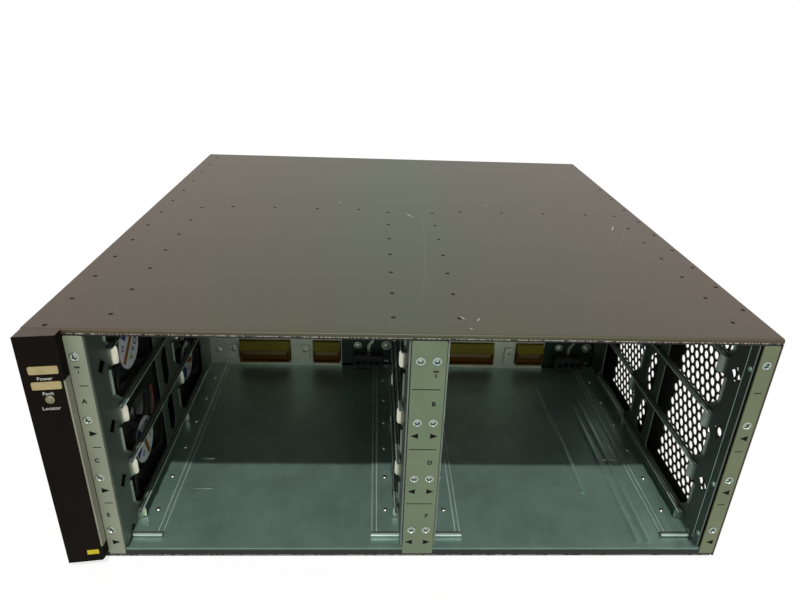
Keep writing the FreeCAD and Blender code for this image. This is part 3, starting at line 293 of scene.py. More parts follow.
def clean(mesh):
    """Merge doubled points, drop faces without area and turn all faces outwards."""
    work = bmesh.new()
    work.from_mesh(mesh)
    bmesh.ops.remove_doubles(work, verts=work.verts, dist=2e-6)
    bmesh.ops.dissolve_degenerate(work, edges=work.edges, dist=1e-7)
    bmesh.ops.recalc_face_normals(work, faces=work.faces)
    work.to_mesh(mesh)
    work.free()


# Materials: Object coordinates are metres, so a pattern of s millimetres has a noise scale of 1000 / s

# A Mix node's sockets when it mixes colours: the factor, the two colours and the result
FACTOR, MIX_A, MIX_B, MIXED = 0, 6, 7, 2
BLENDED = {"data_type": "RGBA"}
MULTIPLIED = {"data_type": "RGBA", "blend_type": "MULTIPLY"}


def linear(code):
    """The linear colour of an sRGB hex value."""
    parts = np.array([int(code[i:i + 2], 16) for i in (0, 2, 4)]) / 255
    return np.where(parts <= 0.04045, parts / 12.92, ((parts + 0.055) / 1.055) ** 2.4).tolist()


def per(size):
    """The noise scale of a pattern whose size is given in millimetres."""
    return 1000 / size


def add(tree, kind, inputs=None, **settings):
    """Add a node with its settings; an input is a node, an output of one, a colour or another plain value."""
    node = tree.nodes.new("ShaderNode" + kind)
    for name, setting in settings.items():
        setattr(node, name, setting)
    for name, source in (inputs or {}).items():
        socket = node.inputs[name]
        if isinstance(source, bpy.types.Node):
            source = source.outputs[MIXED if source.bl_idname == "ShaderNodeMix" else 0]
        if isinstance(source, bpy.types.NodeSocket):
            tree.links.new(source, socket)
        else:
            socket.default_value = (*source, 1.0) if socket.type == "RGBA" else source
    return node


def new_finish(name):
    """An empty node material, its tree and the object's own coordinates."""
    made = bpy.data.materials.new(name)
    made.use_nodes = True
    made.node_tree.nodes.clear()
    return made, made.node_tree, add(made.node_tree, "TexCoord").outputs["Object"]


def mottled(tree, noise, colour, low, high):
    """A colour that the middle of a noise's range darkens to one share and lightens to another."""
    tone = add(tree, "MapRange", {"Value": noise, "From Min": 0.3, "From Max": 0.7,
                                  "To Min": low, "To Max": high})
    return add(tree, "Mix", {FACTOR: 1.0, MIX_A: colour, MIX_B: tone}, **MULTIPLIED)


def close(made, **inputs):
    """End a material with its shader; underscores in the socket names stand for spaces."""
    tree = made.node_tree
    sockets = {name.replace("_", " "): source for name, source in inputs.items()}
    add(tree, "OutputMaterial", {"Surface": add(tree, "BsdfPrincipled", sockets)})
    return made


def powder_coat(name, colour):
    """Bronze powder coat, sprayed and baked on steel: fine orange peel, olive near the middle of the case and
    redder further out to its left and right, and a few chips to bare metal."""
    coat, tree, place = new_finish(name)
    peel = add(tree, "TexNoise", {"Vector": place, "Scale": per(0.7), "Detail": 3.0})
    cloud = add(tree, "TexNoise", {"Vector": place, "Scale": per(140), "Detail": 2.0})
    speck = add(tree, "TexNoise", {"Vector": place, "Scale": per(2.6), "Detail": 1.5})
    chip = add(tree, "MapRange", {"Value": speck, "From Min": 0.81, "From Max": 0.83})
    across = add(tree, "Math", {0: add(tree, "SeparateXYZ", {"Vector": place})}, operation="ABSOLUTE")
    drift = add(tree, "Math", {0: cloud, 1: 0.12, 2: across}, operation="MULTIPLY_ADD")
    edge = add(tree, "MapRange", {"Value": drift, "From Min": 0.07, "From Max": 0.29})
    olive, reddish = colour * (0.78, 1.06, 0.7), colour * (1.15, 0.8, 0.66)
    paint = add(tree, "Mix", {FACTOR: edge, MIX_A: olive, MIX_B: reddish}, **BLENDED)
    bare = bpy.context.scene.chassis_colours.bare
    peeled = mottled(tree, peel, paint, 0.9, 1.1)
    final = add(tree, "Mix", {FACTOR: chip, MIX_A: peeled, MIX_B: bare}, **BLENDED)
    bump = add(tree, "Bump", {"Height": peel, "Strength": 0.2, "Distance": 0.1 * MM})
    return close(coat, Base_Color=final, Roughness=0.48, Metallic=chip, Normal=bump,
                 Specular_Tint=(1.0, 1.0, 0.8))


def galvanised(name, colour, rough, shine=0.75):
    """Hot-dip galvanised steel sheet: faint spangle, lines along the rolling direction, dull wipes."""
    zinc, tree, place = new_finish(name)
    spangle = add(tree, "TexVoronoi", {"Vector": place, "Scale": per(7)})
    stretch = add(tree, "Mapping", {"Vector": place, "Scale": (1.0, 0.03, 1.0)})
    rolled = add(tree, "TexNoise", {"Vector": stretch, "Scale": per(1.3), "Detail": 4.0})
    wipe = add(tree, "TexNoise", {"Vector": place, "Scale": per(45), "Detail": 5.0, "Roughness": 0.6})
    facet = add(tree, "MapRange", {"Value": spangle.outputs["Color"], "To Min": 0.94, "To Max": 1.05})
    wiped = mottled(tree, wipe, colour, 0.82, 1.1)
    final = add(tree, "Mix", {FACTOR: 1.0, MIX_A: wiped, MIX_B: facet}, **MULTIPLIED)
    gloss = add(tree, "MapRange", {"Value": rolled, "From Min": 0.3, "From Max": 0.7,
                                   "To Min": rough - 0.03, "To Max": rough + 0.05})
    bump = add(tree, "Bump", {"Height": rolled, "Strength": 0.04, "Distance": 0.05 * MM})
    return close(zinc, Base_Color=final, Metallic=shine, Roughness=gloss, Normal=bump)


def enamel(name, colour, rough=0.45):
    """Stoved enamel on thin steel: even colour, a slight eggshell and soft smears of handling."""
    coat, tree, place = new_finish(name)
    eggshell = add(tree, "TexNoise", {"Vector": place, "Scale": per(1.1), "Detail": 2.0})
    smear = add(tree, "TexNoise", {"Vector": place, "Scale": per(24), "Detail": 4.0})
    gloss = add(tree, "MapRange", {"Value": smear, "To Min": rough - 0.08, "To Max": rough + 0.08})
    bump = add(tree, "Bump", {"Height": eggshell, "Strength": 0.12, "Distance": 0.1 * MM})
    return close(coat, Base_Color=mottled(tree, smear, colour, 0.9, 1.07), Roughness=gloss, Normal=bump)


def moulded(name, colour, rough=0.48, texture=0.7, depth=0.12, sheen=0.5):
    """Moulded thermoplastic with a spark-eroded texture: fine even pits and a slight bloom from handling."""
    plastic, tree, place = new_finish(name)
    pits = add(tree, "TexNoise", {"Vector": place, "Scale": per(texture), "Detail": 2.0})
    bloom = add(tree, "TexNoise", {"Vector": place, "Scale": per(30), "Detail": 3.0})
    gloss = add(tree, "MapRange", {"Value": pits, "To Min": rough - 0.06, "To Max": rough + 0.1})
    bump = add(tree, "Bump", {"Height": pits, "Strength": 0.3, "Distance": depth * MM})
    return close(plastic, Base_Color=mottled(tree, bloom, colour, 0.85, 1.15), Roughness=gloss, Normal=bump,
                 IOR=1.53, Specular_IOR_Level=sheen)


def light_pipe(name, colour):
    """Frosted polycarbonate light pipe, yellowed: milky, a little browner in patches, soft inner glow."""
    pipe, tree, place = new_finish(name)
    patch = add(tree, "TexNoise", {"Vector": place, "Scale": per(5), "Detail": 3.0, "Roughness": 0.6})
    age = add(tree, "MapRange", {"Value": patch, "From Min": 0.45, "From Max": 0.75, "To Max": 0.6})
    final = add(tree, "Mix", {FACTOR: age, MIX_A: colour, MIX_B: linear("8d7c4e")}, **BLENDED)
    bump = add(tree, "Bump", {"Height": patch, "Strength": 0.2, "Distance": 0.2 * MM})
    return close(pipe, Base_Color=final, Roughness=0.42, Normal=bump, IOR=1.58, Subsurface_Weight=0.25,
                 Subsurface_Scale=2 * MM)


def circuit_board(name, colour):
    """FR4 glass-epoxy board under green solder mask: weave beneath, lighter copper pours and traces."""
    board, tree, place = new_finish(name)
    weave = add(tree, "TexNoise", {"Vector": place, "Scale": per(0.8), "Detail": 1.0})
    upright = add(tree, "Mapping", {"Vector": place, "Rotation": (math.pi / 2, 0, 0)})
    lanes = add(tree, "TexBrick", {"Vector": upright, "Scale": 1.0, "Mortar Size": 0.6 * MM,
                                   "Brick Width": 17 * MM, "Row Height": 5.2 * MM})
    trace = add(tree, "MapRange", {"Value": lanes.outputs["Fac"], "To Min": 1.0, "To Max": 1.7})
    final = add(tree, "Mix", {FACTOR: 1.0, MIX_A: colour, MIX_B: trace}, **MULTIPLIED)
    bump = add(tree, "Bump", {"Height": weave, "Strength": 0.2, "Distance": 0.08 * MM})
    return close(board, Base_Color=final, Roughness=0.3, Normal=bump)


def plated(name, colour, rough=0.28):
    """Plated or rubbed bright metal: faint turning marks and dull, slightly warm handling spots."""
    metal, tree, place = new_finish(name)
    marks = add(tree, "TexNoise", {"Vector": place, "Scale": per(0.5), "Detail": 3.0})
    dull = add(tree, "TexNoise", {"Vector": place, "Scale": per(6), "Detail": 3.0})
    gloss = add(tree, "MapRange", {"Value": dull, "To Min": rough - 0.1, "To Max": rough + 0.14})
    warm = add(tree, "Mix", {FACTOR: dull, MIX_A: colour, MIX_B: linear("b9b4a2")}, **BLENDED)
    bump = add(tree, "Bump", {"Height": marks, "Strength": 0.12, "Distance": 0.05 * MM})
    return close(metal, Base_Color=warm, Metallic=1.0, Roughness=gloss, Normal=bump)


def printed(name, colour):
    """Screen-printing ink: flat and matt, thinner in places where the screen gave less."""
    ink, tree, place = new_finish(name)
    cover = add(tree, "TexNoise", {"Vector": place, "Scale": per(0.7), "Detail": 3.0})
    return close(ink, Base_Color=mottled(tree, cover, colour, 0.8, 1.12), Roughness=0.85,
                 Specular_IOR_Level=0.15)


def colour_property(name, description, code):
    """A colour that a user may change, from its sRGB hex value."""
    return FloatVectorProperty(name=name, description=description, subtype="COLOR", default=linear(code))


def length_property(name, description, metres):
    """A length that a user may change."""
    return FloatProperty(name=name, description=description, unit="LENGTH", default=metres)


class ChassisColours(bpy.types.PropertyGroup):
    """Colours of the finishes."""
    coat: colour_property("Powder coat", "Bronze coat of the outer case", "3e3a31")
    bare: colour_property("Bare steel", "Steel where the coat has chipped", "b9b4a8")
    zinc: colour_property("Zinc", "Galvanised inner sheet", "94b2a6")
    guide: colour_property("Guides", "Dull zinc of the card guides' walls", "737f76")
    # Bright zinc: painted highlight on the lead-ins, painted light on the backplane frame, and the colour of
    # the burnished floor marks
    bright: colour_property("Bright zinc", "Burnished edges and lead-ins", "dfe0cc")
    strip: colour_property("Strips", "Enamel of the front strips", "838a74")
    bezel: colour_property("Bezel", "Moulded indicator bezel", "110d08")
    bracket: colour_property("Bracket", "Enamelled side of the bezel", "8f8e7c")
    window: colour_property("Windows", "Light pipes of the indicator windows", "a79966")
    board: colour_property("Boards", "Solder mask of the circuit boards", "0b2418")
    connector: colour_property("Connectors", "Nylon of the slot connectors", "80780e")


# Each finish: its material function, its colour's name or hex value, the share of that colour, and the
# function's own settings
FINISHES = {
    "bronze_powder_coat": (powder_coat, "coat"),
    "rubbed_coat": (powder_coat, "coat", 1.3),
    "shaded_coat": (powder_coat, "coat", 0.74),
    # Bare steel of chips and nicks, also used for the painted glints along the front edges
    "bare_steel": (plated, "bare", 1, 0.4),
    "galvanised_floor": (galvanised, "zinc", 1, 0.42),
    "galvanised_guide": (galvanised, "guide", 1, 0.45),
    # Painted light: the backplane frame, its posts and bosses are near white so that they look lit, though
    # little light reaches the back of the bays
    "galvanised_frame": (galvanised, "bright", 1, 0.4, 0.6),
    "galvanised_shade": (galvanised, "guide", 0.62, 0.45),
    # Painted highlight: pale zinc for the bright lines on the card guides' edges
    "rubbed_zinc": (galvanised, "d2e4dc", 1, 0.38, 0.5),
    # Bright zinc of the burnished floor marks, also the painted highlight on the guides' lead-ins
    "burnished_zinc": (plated, "bright", 1, 0.36),
    "sage_enamel": (enamel, "strip"),
    # Painted shade: the centre and right strips take darker copies of the same enamel, standing in for the
    # light that falls less on them
    "sage_enamel_centre": (enamel, "strip", (0.52, 0.65, 0.51)),
    "sage_enamel_right": (enamel, "strip", (0.54, 0.58, 0.4)),
    "grey_enamel": (enamel, "bracket", 1, 0.5),
    "black_lining": (enamel, "0b0d09", 1, 0.75),
    "abs_black": (moulded, "bezel", 1, 0.68, 0.7, 0.12, 0.05),
    "aged_light_pipe": (light_pipe, "window"),
    "smoked_polycarbonate": (moulded, "74725f", 1, 0.22, 2.0, 0.02),
    "fr4_board": (circuit_board, "board"),
    "amber_nylon": (moulded, "connector", 1, 0.4, 0.5, 0.05, 0.15),
    "brown_nylon": (moulded, "6e4812", 1, 0.45, 0.5, 0.05, 0.15),
    "black_nylon": (moulded, "121412", 1, 0.45, 0.5, 0.06),
    "pbt_black": (moulded, "151614", 1, 0.42, 0.8, 0.08),
    "pvc_red": (moulded, "8c1f16", 1, 0.35, 1.5, 0.02),
    "pvc_black": (moulded, "161616", 1, 0.35, 1.5, 0.02),
    "zinc_plated_steel": (plated, "dfe2da"),
    "nickel_plated_brass": (plated, "86a3a4", 1, 0.24),
    "phosphor_bronze": (plated, "b8843c", 1, 0.35),
    "ink_black": (printed, "0b0c08"),
    "ink_white": (printed, "c8c8bc"),
    "film_white": (printed, "cfd2d6"),
    "film_blue": (printed, "3a4478"),
    "film_brown": (printed, "8a5a24"),
    "film_green": (printed, "93a53c"),
    "film_yellow": (printed, "cdb82a"),
}
finishes_made = {}


def finish(name):
    """A finish by its name, made the first time it is asked for."""
    if name not in finishes_made:
        maker, colour, *settings = FINISHES[name]
        share = settings.pop(0) if settings else 1
        colours = bpy.context.scene.chassis_colours
        base = getattr(colours, colour) if colour in ChassisColours.__annotations__ else linear(colour)
        finishes_made[name] = maker(name, np.array(base[:], float) * share, *settings)
    return finishes_made[name]


CAD_FINISHES = {
    "bronze_powder_coat": ("rear_panel", "psu_cover_left", "psu_cover_right", "fan_tray_plate"),
    "galvanised_floor": ("floor_pan",),
    "black_lining": ("bottom_pan",),
    # Painted light: the backplane frames take the near-white zinc so that they look lit
    "galvanised_frame": ("backplane_frame_left", "backplane_frame_right"),
    "galvanised_guide": ("psu_bay_roof", "psu_bay_divider", "tray_runner_lower", "tray_runner_upper",
                         "fan_tray_frame"),
    "fr4_board": ("indicator_board", "backplane_board"),
}


class CHASSIS_OT_dress_sheet_metal(bpy.types.Operator):
    """Give the CAD pieces that stay as they are their finishes"""
    bl_idname = "chassis.dress_sheet_metal"
    bl_label = "Dress sheet metal"

    def execute(self, context):
        for name, nodes in CAD_FINISHES.items():
            for node in nodes:
                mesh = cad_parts[node].data
                mesh.materials.clear()
                mesh.materials.append(finish(name))
        return {"FINISHED"}


class ChassisCase(bpy.types.PropertyGroup):
    """Sizes of the outer case."""
    rivet_round: length_property("Lid holes", "Diameter of the lid's rivet holes", 0.003)
    hole_round: length_property("Air holes", "Diameter of the side walls' air holes", 0.0066)
    hole_pitch: length_property("Air hole spacing", "Spacing of the air holes along a row", 0.0079)
    row_pitch: length_property("Air hole rows", "Height from one row of air holes to the next", 0.0066)


HEM_BACK = 2.6
LID_ROWS = ((-210.4, 4.7, 35.7, 13), (-179.1, 19.8, 35.75, 7), (-10.9, 21.3, 35.4, 7), (29.5, 21.3, 35.4, 7),
            (201.2, 21.7, 36.1, 7), (217.6, 39.9, 36.4, 9))
LID_CROSS_ROW = (-152.4, -114.1, -75.5, -37.2, 56.0, 94.7, 134.0, 174.0)
LID_CROSS_BACK = 240.0
LID_RUBS = (((-1210, 214), 1229, -7.1, 1.1, 20), ((-403, 454), 652, -27.4, -22.4, 10))
LID_NICKS = (((5, 232), (12, 219)), ((-58, 261), (-54, 261)), ((82, 262), (86, 261)), ((30, 24), (33, 20)),
             ((40, 18), (42, 22)), ((34, 8), (36, 8)), ((190, 209), (184, 195)))


def lid_rivet_places():
    """Rows of holes along the lid, x fixed and y = first + step n, and one row across it."""
    along = [(x, first + step * count) for x, first, step, number in LID_ROWS for count in range(number)]
    return np.array(along + [(x, LID_CROSS_BACK) for x in LID_CROSS_ROW])


def glints(high, count, seed):
    """Short bright patches along a front edge, painted glints and partly bare metal: places drawn evenly by a
    seeded generator, one in five long.
    """
    chance = np.random.default_rng(seed)
    places = np.column_stack([chance.uniform(-198, 219, count), np.full(count, 0.0), np.full(count, high)])
    return joined([copies(block((-0.35, -0.12, -0.25), (0.35, 0.1, 0.25)), places),
                   copies(block((-1.4, -0.1, -0.2), (1.4, 0.1, 0.2)), places[:count // 5])])


def stroke(start, end, wide):
    """A thin flat scratch between two points in XY: half width = wide sin(pi s) / 2."""
    start, end = np.array(start, float), np.array(end, float)
    share = np.linspace(0, 1, 9)[:, None]
    across = np.array([start[1] - end[1], end[0] - start[0]]) / np.linalg.norm(end - start)
    half = wide / 2 * np.sin(np.pi * share[1:-1]) * across
    line = start + (end - start) * share
    return plate([np.concatenate([line[:1], line[1:-1] + half, line[-1:], (line[1:-1] - half)[::-1]])], INK)


class CHASSIS_OT_add_lid(bpy.types.Operator):
    """Lid: a sheet with rivet holes and a folded front hem, its rivets, and the scratches on it"""
    bl_idname = "chassis.add_lid"
    bl_label = "Add lid"

    def execute(self, context):
        radius = context.scene.chassis_case.rivet_round / MM / 2
        places = lid_rivet_places()
        outline = oblong((-CASE_HALF, HEM_BACK), (CASE_HALF, CASE_DEEP))
        flat = plate([outline] + [circle(place, radius, 12) for place in places], SKIN)
        bend = rounded([(SKIN / 2, CASE_HIGH - 2.9), (SKIN / 2, CASE_HIGH - SKIN / 2),
                        (HEM_BACK, CASE_HIGH - SKIN / 2)], 1.5, 6, closed=False)
        piece("lid", "bronze_powder_coat", "black_paint", laid(flat, origin=(0, 0, CASE_HIGH - SKIN)),
              laid(folded(bend, SKIN, -CASE_HALF, CASE_HALF), ALONG_X), replaces=["top_cover"])
        # Painted shade: a black block under the hem stands in for the hem's shadow; the sills are black bands
        # along the floor's front edge between the strips.
        shade = block((-199.6, 0.25, CASE_HIGH - 4.2), (221.0, 1.1, CASE_HIGH - 2.8))
        sills = [block((STRIPS[one][1], -0.05, 0.3), (STRIPS[other][0], 0.3, 4.2))
                 for one, other in (("left", "centre"), ("centre", "right"))]
        piece("edge_shade", "black_lining", "black_paint", shade, *sills)
        # Painted highlights: bright glints along the hem's lower edge and along the case's bottom front edge,
        # partly bare metal where the coat is worn.
        piece("edge_glints", "bare_steel", "black_paint",
              glints(CASE_HIGH - 2.75, 520, 2), glints(0.9, 420, 5))
        dish = turned([(0, -1.1), (radius * 0.45, -1.05), (radius * 0.8, -0.8), (radius + 0.05, -0.75),
                       (radius + 0.05, -1.2), (0, -1.2)], 12)
        spots = np.column_stack([places, np.full(len(places), CASE_HIGH)])
        piece("lid_rivets", "pbt_black", "black_paint", copies(dish, spots))
        paths = [np.column_stack([arc(*bow), np.full(bow[-1], CASE_HIGH - 0.05)]) for bow in LID_RUBS]
        rubs = [carried(oblong((-0.9, 0), (0.9, 0.08)), path) for path in paths]
        piece("lid_rubs", "rubbed_coat", "black_paint", *rubs)
        nicks = joined([stroke(*ends, 0.9) for ends in LID_NICKS])
        piece("lid_nicks", "bare_steel", "black_paint", laid(nicks, origin=(0, 0, CASE_HIGH)))
        return {"FINISHED"}


WALLS = {"wall_right": (1, (28.3, 140.3), 11.0), "wall_left": (-1, (31.0, 145.0), 18.0)}
HOLE_COLUMNS, HOLE_ROWS, FIRST_HOLE_HIGH = 10, 24, 11.2


def air_hole_places(first, pitch, rise):
    """Close-packed holes: y = first + pitch (column + half on odd rows), z = lowest + rise row."""
    row, column = np.meshgrid(np.arange(HOLE_ROWS), np.arange(HOLE_COLUMNS), indexing="ij")
    places = np.stack([first + pitch * (column + row % 2 / 2), FIRST_HOLE_HIGH + rise * row], axis=-1)
    places = places.reshape(-1, 2)
    return places[places[:, 0] < first + pitch * (HOLE_COLUMNS - 0.6)]


class CHASSIS_OT_add_side_walls(bpy.types.Operator):
    """Outer side walls with two fields of close-packed air holes and a flange under the lid"""
    bl_idname = "chassis.add_side_walls"
    bl_label = "Add side walls"

    def execute(self, context):
        case = context.scene.chassis_case
        radius, pitch, rise = (size / MM for size in (case.hole_round / 2, case.hole_pitch, case.row_pitch))
        top, back, middle = CASE_HIGH - SKIN, CASE_DEEP - SKIN, CASE_HALF - SKIN / 2
        outline = [(0, 0), (back, 0), (back, top - 2.2), (0, top - 2.2)]
        for label, (side, fields, fold) in WALLS.items():
            spots = np.concatenate([air_hole_places(first, pitch, rise) for first in fields])
            sheet = plate([outline] + [circle(spot, radius, 12) for spot in spots], SKIN / 2)
            wall, lining = (laid(sheet, ((0, 1, 0), (0, 0, 1), (-side, 0, 0)), (side * out, 0, 0))
                            for out in (CASE_HALF, middle))
            bend = rounded([(middle, top - 2.2), (middle, top - SKIN / 2),
                            (CASE_HALF - fold, top - SKIN / 2)], 1.4, 5, closed=False)
            flange = laid(folded(bend, SKIN, SKIN, back), ((side, 0, 0), (0, 0, 1), (0, 1, 0)))
            piece(label + "_lining", "black_lining", "black_paint", lining)
            piece(label, "bronze_powder_coat", "black_paint", wall, flange, replaces=["side_" + label])
        return {"FINISHED"}


class ChassisStrips(bpy.types.PropertyGroup):
    """Sizes of the front strips."""
    insert_round: length_property("Inserts", "Diameter of the threaded inserts", 0.0058)
    letter_high: length_property("Letters", "Height of the slot letters", 0.0033)


STRIPS = {"left": (-199.7, -188.7), "centre": (-0.2, 20.8), "right": (211.05, 221.05)}
# The centre and right strips take darker copies of the left strip's enamel: painted shade
STRIP_COATS = {"left": "sage_enamel", "centre": "sage_enamel_centre", "right": "sage_enamel_right"}
STRIP_LOW, STRIP_TOP = 2.1, 170.9
INSERTS = {"left": [-195.25], "centre": [5.35, 15.25], "right": [215.85]}
FIRST_INSERT = 23.75
LINES = ((-195.7, -190.6), (0.9, 18.2), (213.4, 218.4))
LINE_HEIGHTS = (137.4, 92.2, 47.2)
ARROWS = ((-196.0, -191.0), (6.3, 1.4), (13.9, 18.7), (218.8, 213.8))
ARROW_HEIGHTS = (102.7, 57.7, 12.8)
LETTERS = (("A", -194.9, 126.5), ("C", -194.9, 82.0), ("E", -194.9, 37.0), ("1", -194.7, 147.0),
           ("B", 14.9, 127.0), ("D", 14.9, 81.8), ("F", 14.9, 36.7), ("2", 15.0, 147.2))
FIGURE_SHARE = 0.7
PAIRS_HIGH, PAIRS_UP, PAIRS = 1.6, 150.2, (-195.0, 14.9)


class CHASSIS_OT_add_front_strips(bpy.types.Operator):
    """Front strips with their threaded inserts and their printed letters, lines and arrows"""
    bl_idname = "chassis.add_front_strips"
    bl_label = "Add front strips"

    def execute(self, context):
        strips = context.scene.chassis_strips
        radius, high = strips.insert_round / MM / 2, strips.letter_high / MM
        spots = []
        for label, (left, right) in STRIPS.items():
            places = [(x, FIRST_INSERT + z) for x in INSERTS[label] for z in SLOT_ROWS]
            outline = oblong((left, STRIP_LOW), (right, STRIP_TOP), 0.9)
            sheet = plate([outline] + [circle(place, radius - 0.1, 20) for place in places], SKIN)
            piece(f"strip_{label}_face", STRIP_COATS[label], "strip_print",
                  laid(sheet, FACING_FRONT, (0, SKIN, 0)), replaces=["strip_" + label], bevel=0.45)
            spots += [(x, 0, z) for x, z in places]
        thread = [(1.5 - 0.16 * (step % 2), -0.3 - 0.4 * step) for step in range(4)]
        insert = turned([(radius - 0.1, -3.0), (radius - 0.1, -0.1), (radius, 0.0), (radius, 0.25),
                         (radius - 0.4, 0.55), (1.9, 0.5), (1.6, 0.1)] + thread
                        + [(0, -1.9), (0, -4.9), (2.6, -4.9), (2.6, -3.0)], 20)
        piece("strip_inserts", "nickel_plated_brass", "plated_screw",
              copies(laid(insert, FACING_FRONT), spots))
        marks = [plate([oblong((low, z - 0.3), (top, z + 0.3))], INK)
                 for low, top in LINES for z in LINE_HEIGHTS]
        marks += [plate([[(tail, z - 2.1), (tip, z), (tail, z + 2.1)]], INK)
                  for tail, tip in ARROWS for z in ARROW_HEIGHTS]
        marks += [lettering(text, high if text.isalpha() else high * FIGURE_SHARE, (x, z), 0.035)
                  for text, x, z in LETTERS]
        marks += [lettering("MM", PAIRS_HIGH, (x, PAIRS_UP), 0.03) for x in PAIRS]
        piece("strip_marks", "ink_black", "strip_print", laid(joined(marks), FACING_FRONT))
        return {"FINISHED"}


class ChassisBezel(bpy.types.PropertyGroup):
    """Sizes of the indicator bezel."""
    letter_high: length_property("Letters", "Height of the capitals beside the lamps", 0.0022)


BEZEL_LEFT, BEZEL_WIDE, BEZEL_DEEP, BEZEL_TAPER = -222.25, 22.5, 10.0, 0.3
BEZEL_LOW, BEZEL_TOP, BEZEL_CUT = 4.2, 174.8, 1.5
BRACKET_LOW, BRACKET_TOP = 15.2, 145.8
WINDOW_MIDDLE = -209.9
WINDOWS = {"power_window": 153.0, "fault_window": 142.7}
LOCATOR_HIGH = 133.1
WORDS = {"Power": 147.5, "Fault": 137.4, "Locator": 127.2}


def taper(x):
    """How deep the bezel is at each X, as a share of its depth at the left edge."""
    return 1 - BEZEL_TAPER * (x - BEZEL_LEFT) / BEZEL_WIDE


def window_outline(middle, half_wide, half_high, radius):
    """A rounded oblong about the middle of an indicator window."""
    place, half = np.array((WINDOW_MIDDLE, middle)), np.array((half_wide, half_high))
    return oblong(place - half, place + half, radius)


def bezel_shape():
    """The bezel: its outline with the windows cut through, y = -depth taper(x)."""
    right = BEZEL_LEFT + BEZEL_WIDE
    outline = [(BEZEL_LEFT, BEZEL_LOW), (right - BEZEL_CUT, BEZEL_LOW), (right, BEZEL_LOW + BEZEL_CUT),
               (right, BRACKET_LOW), (right - 1, BRACKET_LOW), (right - 1, BRACKET_TOP), (right, BRACKET_TOP),
               (right, BEZEL_TOP), (BEZEL_LEFT, BEZEL_TOP)]
    windows = [window_outline(middle, 8.3, 2.9, 1.2) for middle in WINDOWS.values()]
    lamp = circle((WINDOW_MIDDLE, LOCATOR_HIGH), 2.6, 28)
    points, faces = laid(plate([outline] + windows + [lamp], BEZEL_DEEP), FACING_FRONT)
    points[:, 1] *= taper(points[:, 0])
    return points, faces


def on_bezel(shape):
    """A flat shape in X and Z laid on the bezel's sloping face."""
    points, faces = laid(shape, FACING_FRONT)
    points[:, 1] -= BEZEL_DEEP * taper(points[:, 0])
    return points, faces


class CHASSIS_OT_add_bezel_details(bpy.types.Operator):
    """Light pipes, locator lamp, printed words and a bare sticker on the indicator bezel"""
    bl_idname = "chassis.add_bezel_details"
    bl_label = "Add bezel details"

    def execute(self, context):
        high = context.scene.chassis_bezel.letter_high / MM
        piece("bezel_moulding", "abs_black", "bezel_plastic", bezel_shape(), replaces=["front_bezel"],
              bevel=0.5)
        side = plate([oblong((0.6, 15.4), (6.6, 145.6), 0.8)], 1.0)
        piece("bezel_side", "grey_enamel", "bracket_metal",
              laid(side, ((0, -1, 0), (0, 0, 1), (1, 0, 0)), (-200.75, 0, 0)), replaces=["bezel_bracket"])
        cap = plate([[(-222.0, -9.6), (-200.0, -6.8), (-200.0, 0), (-222.0, 0)]], 0.25)
        piece("bezel_cap", "shaded_coat", "bezel_plastic", laid(cap, origin=(0, 0, 174.75)))
        for node, middle in WINDOWS.items():
            pipe = laid(on_bezel(plate([window_outline(middle, 8.0, 2.6, 1.0)], 7.2)), origin=(0, 7.0, 0))
            piece(node.replace("window", "light"), "aged_light_pipe", "light_window", pipe, replaces=[node],
                  bevel=0.3)
        dome = turned([(0, -7.2), (2.2, -7.2), (2.2, 0), (2.0, 0.4), (1.6, 0.75), (1.0, 0.95), (0, 1.0)], 28)
        rim = turned([(2.15, -1), (2.6, -1), (2.6, 0.15), (2.4, 0.3), (2.15, 0.15)], 28, ring=True)
        lamp_place = (WINDOW_MIDDLE, -BEZEL_DEEP * taper(WINDOW_MIDDLE), LOCATOR_HIGH)
        piece("locator_rim", "aged_light_pipe", "lamp_lens", laid(rim, FACING_FRONT, lamp_place), smooth=60)
        piece("locator_dome", "smoked_polycarbonate", "lamp_lens", laid(dome, FACING_FRONT, lamp_place),
              replaces=["locator_lens"], smooth=60)
        words = [lettering(word, high, (WINDOW_MIDDLE, z), 0.004) for word, z in WORDS.items()]
        piece("bezel_words", "ink_white", "bezel_plastic", on_bezel(joined(words)))
        sticker = plate([oblong((-209.6, 10.2), (-202.4, 14.0), 0.3)], INK)
        piece("bezel_sticker", "film_yellow", "bezel_plastic", on_bezel(sticker))
        return {"FINISHED"}


class ChassisGuides(bpy.types.PropertyGroup):
    """Sizes of the card guides."""
    ledge_out: length_property("Ledge", "Width of a card ledge", 0.0032)
    scoop_out: length_property("Scoop", "How far a lead-in scoop stands into the bay", 0.0042)


GUIDES = {"guide_left": (-188.2, 1), "divider_guide_left": (-1.7, -1),
          "divider_guide_right": (22.3, 1), "guide_right": (208.8, -1)}
GUIDE_TOP = CASE_HIGH - SKIN
GUIDE_FRONT, GUIDE_BACK = 1.4, 246.0
LEDGE_TOPS = 15.3 + SLOT_ROWS
LEDGE_START, LEDGE_END = 25.0, 216.0
FOOT_HIGH, FOOT_START, FOOT_WIDE = 6.0, 12.0, 19.6
VENTS = ((23.0, 101.0), (137.0, 216.0))
VENT_GAP = 0.6
VENT_TOPS = (54.5, 98.95, 143.4, GUIDE_TOP - ZINC - 3)
VENT_CORNERS = (11.5, 11.5, 11.5, 6.0)
SCOOP_HIGH, SCOOP_REACH, SCOOP_ROLL = 13.5, 7.5, 4.4
LIP_OUT, LIP_ROLL = 1.6, 2.4
ROLL_END = 82
SHADED_COATS = {"galvanised_guide": "galvanised_shade", "burnished_zinc": "galvanised_guide"}
STAR_Y, STAR_DROP, STAR_WIDE, STAR_HIGH, STAR_PINCH = 15.5, 7.3, 6.0, 6.5, 2.4


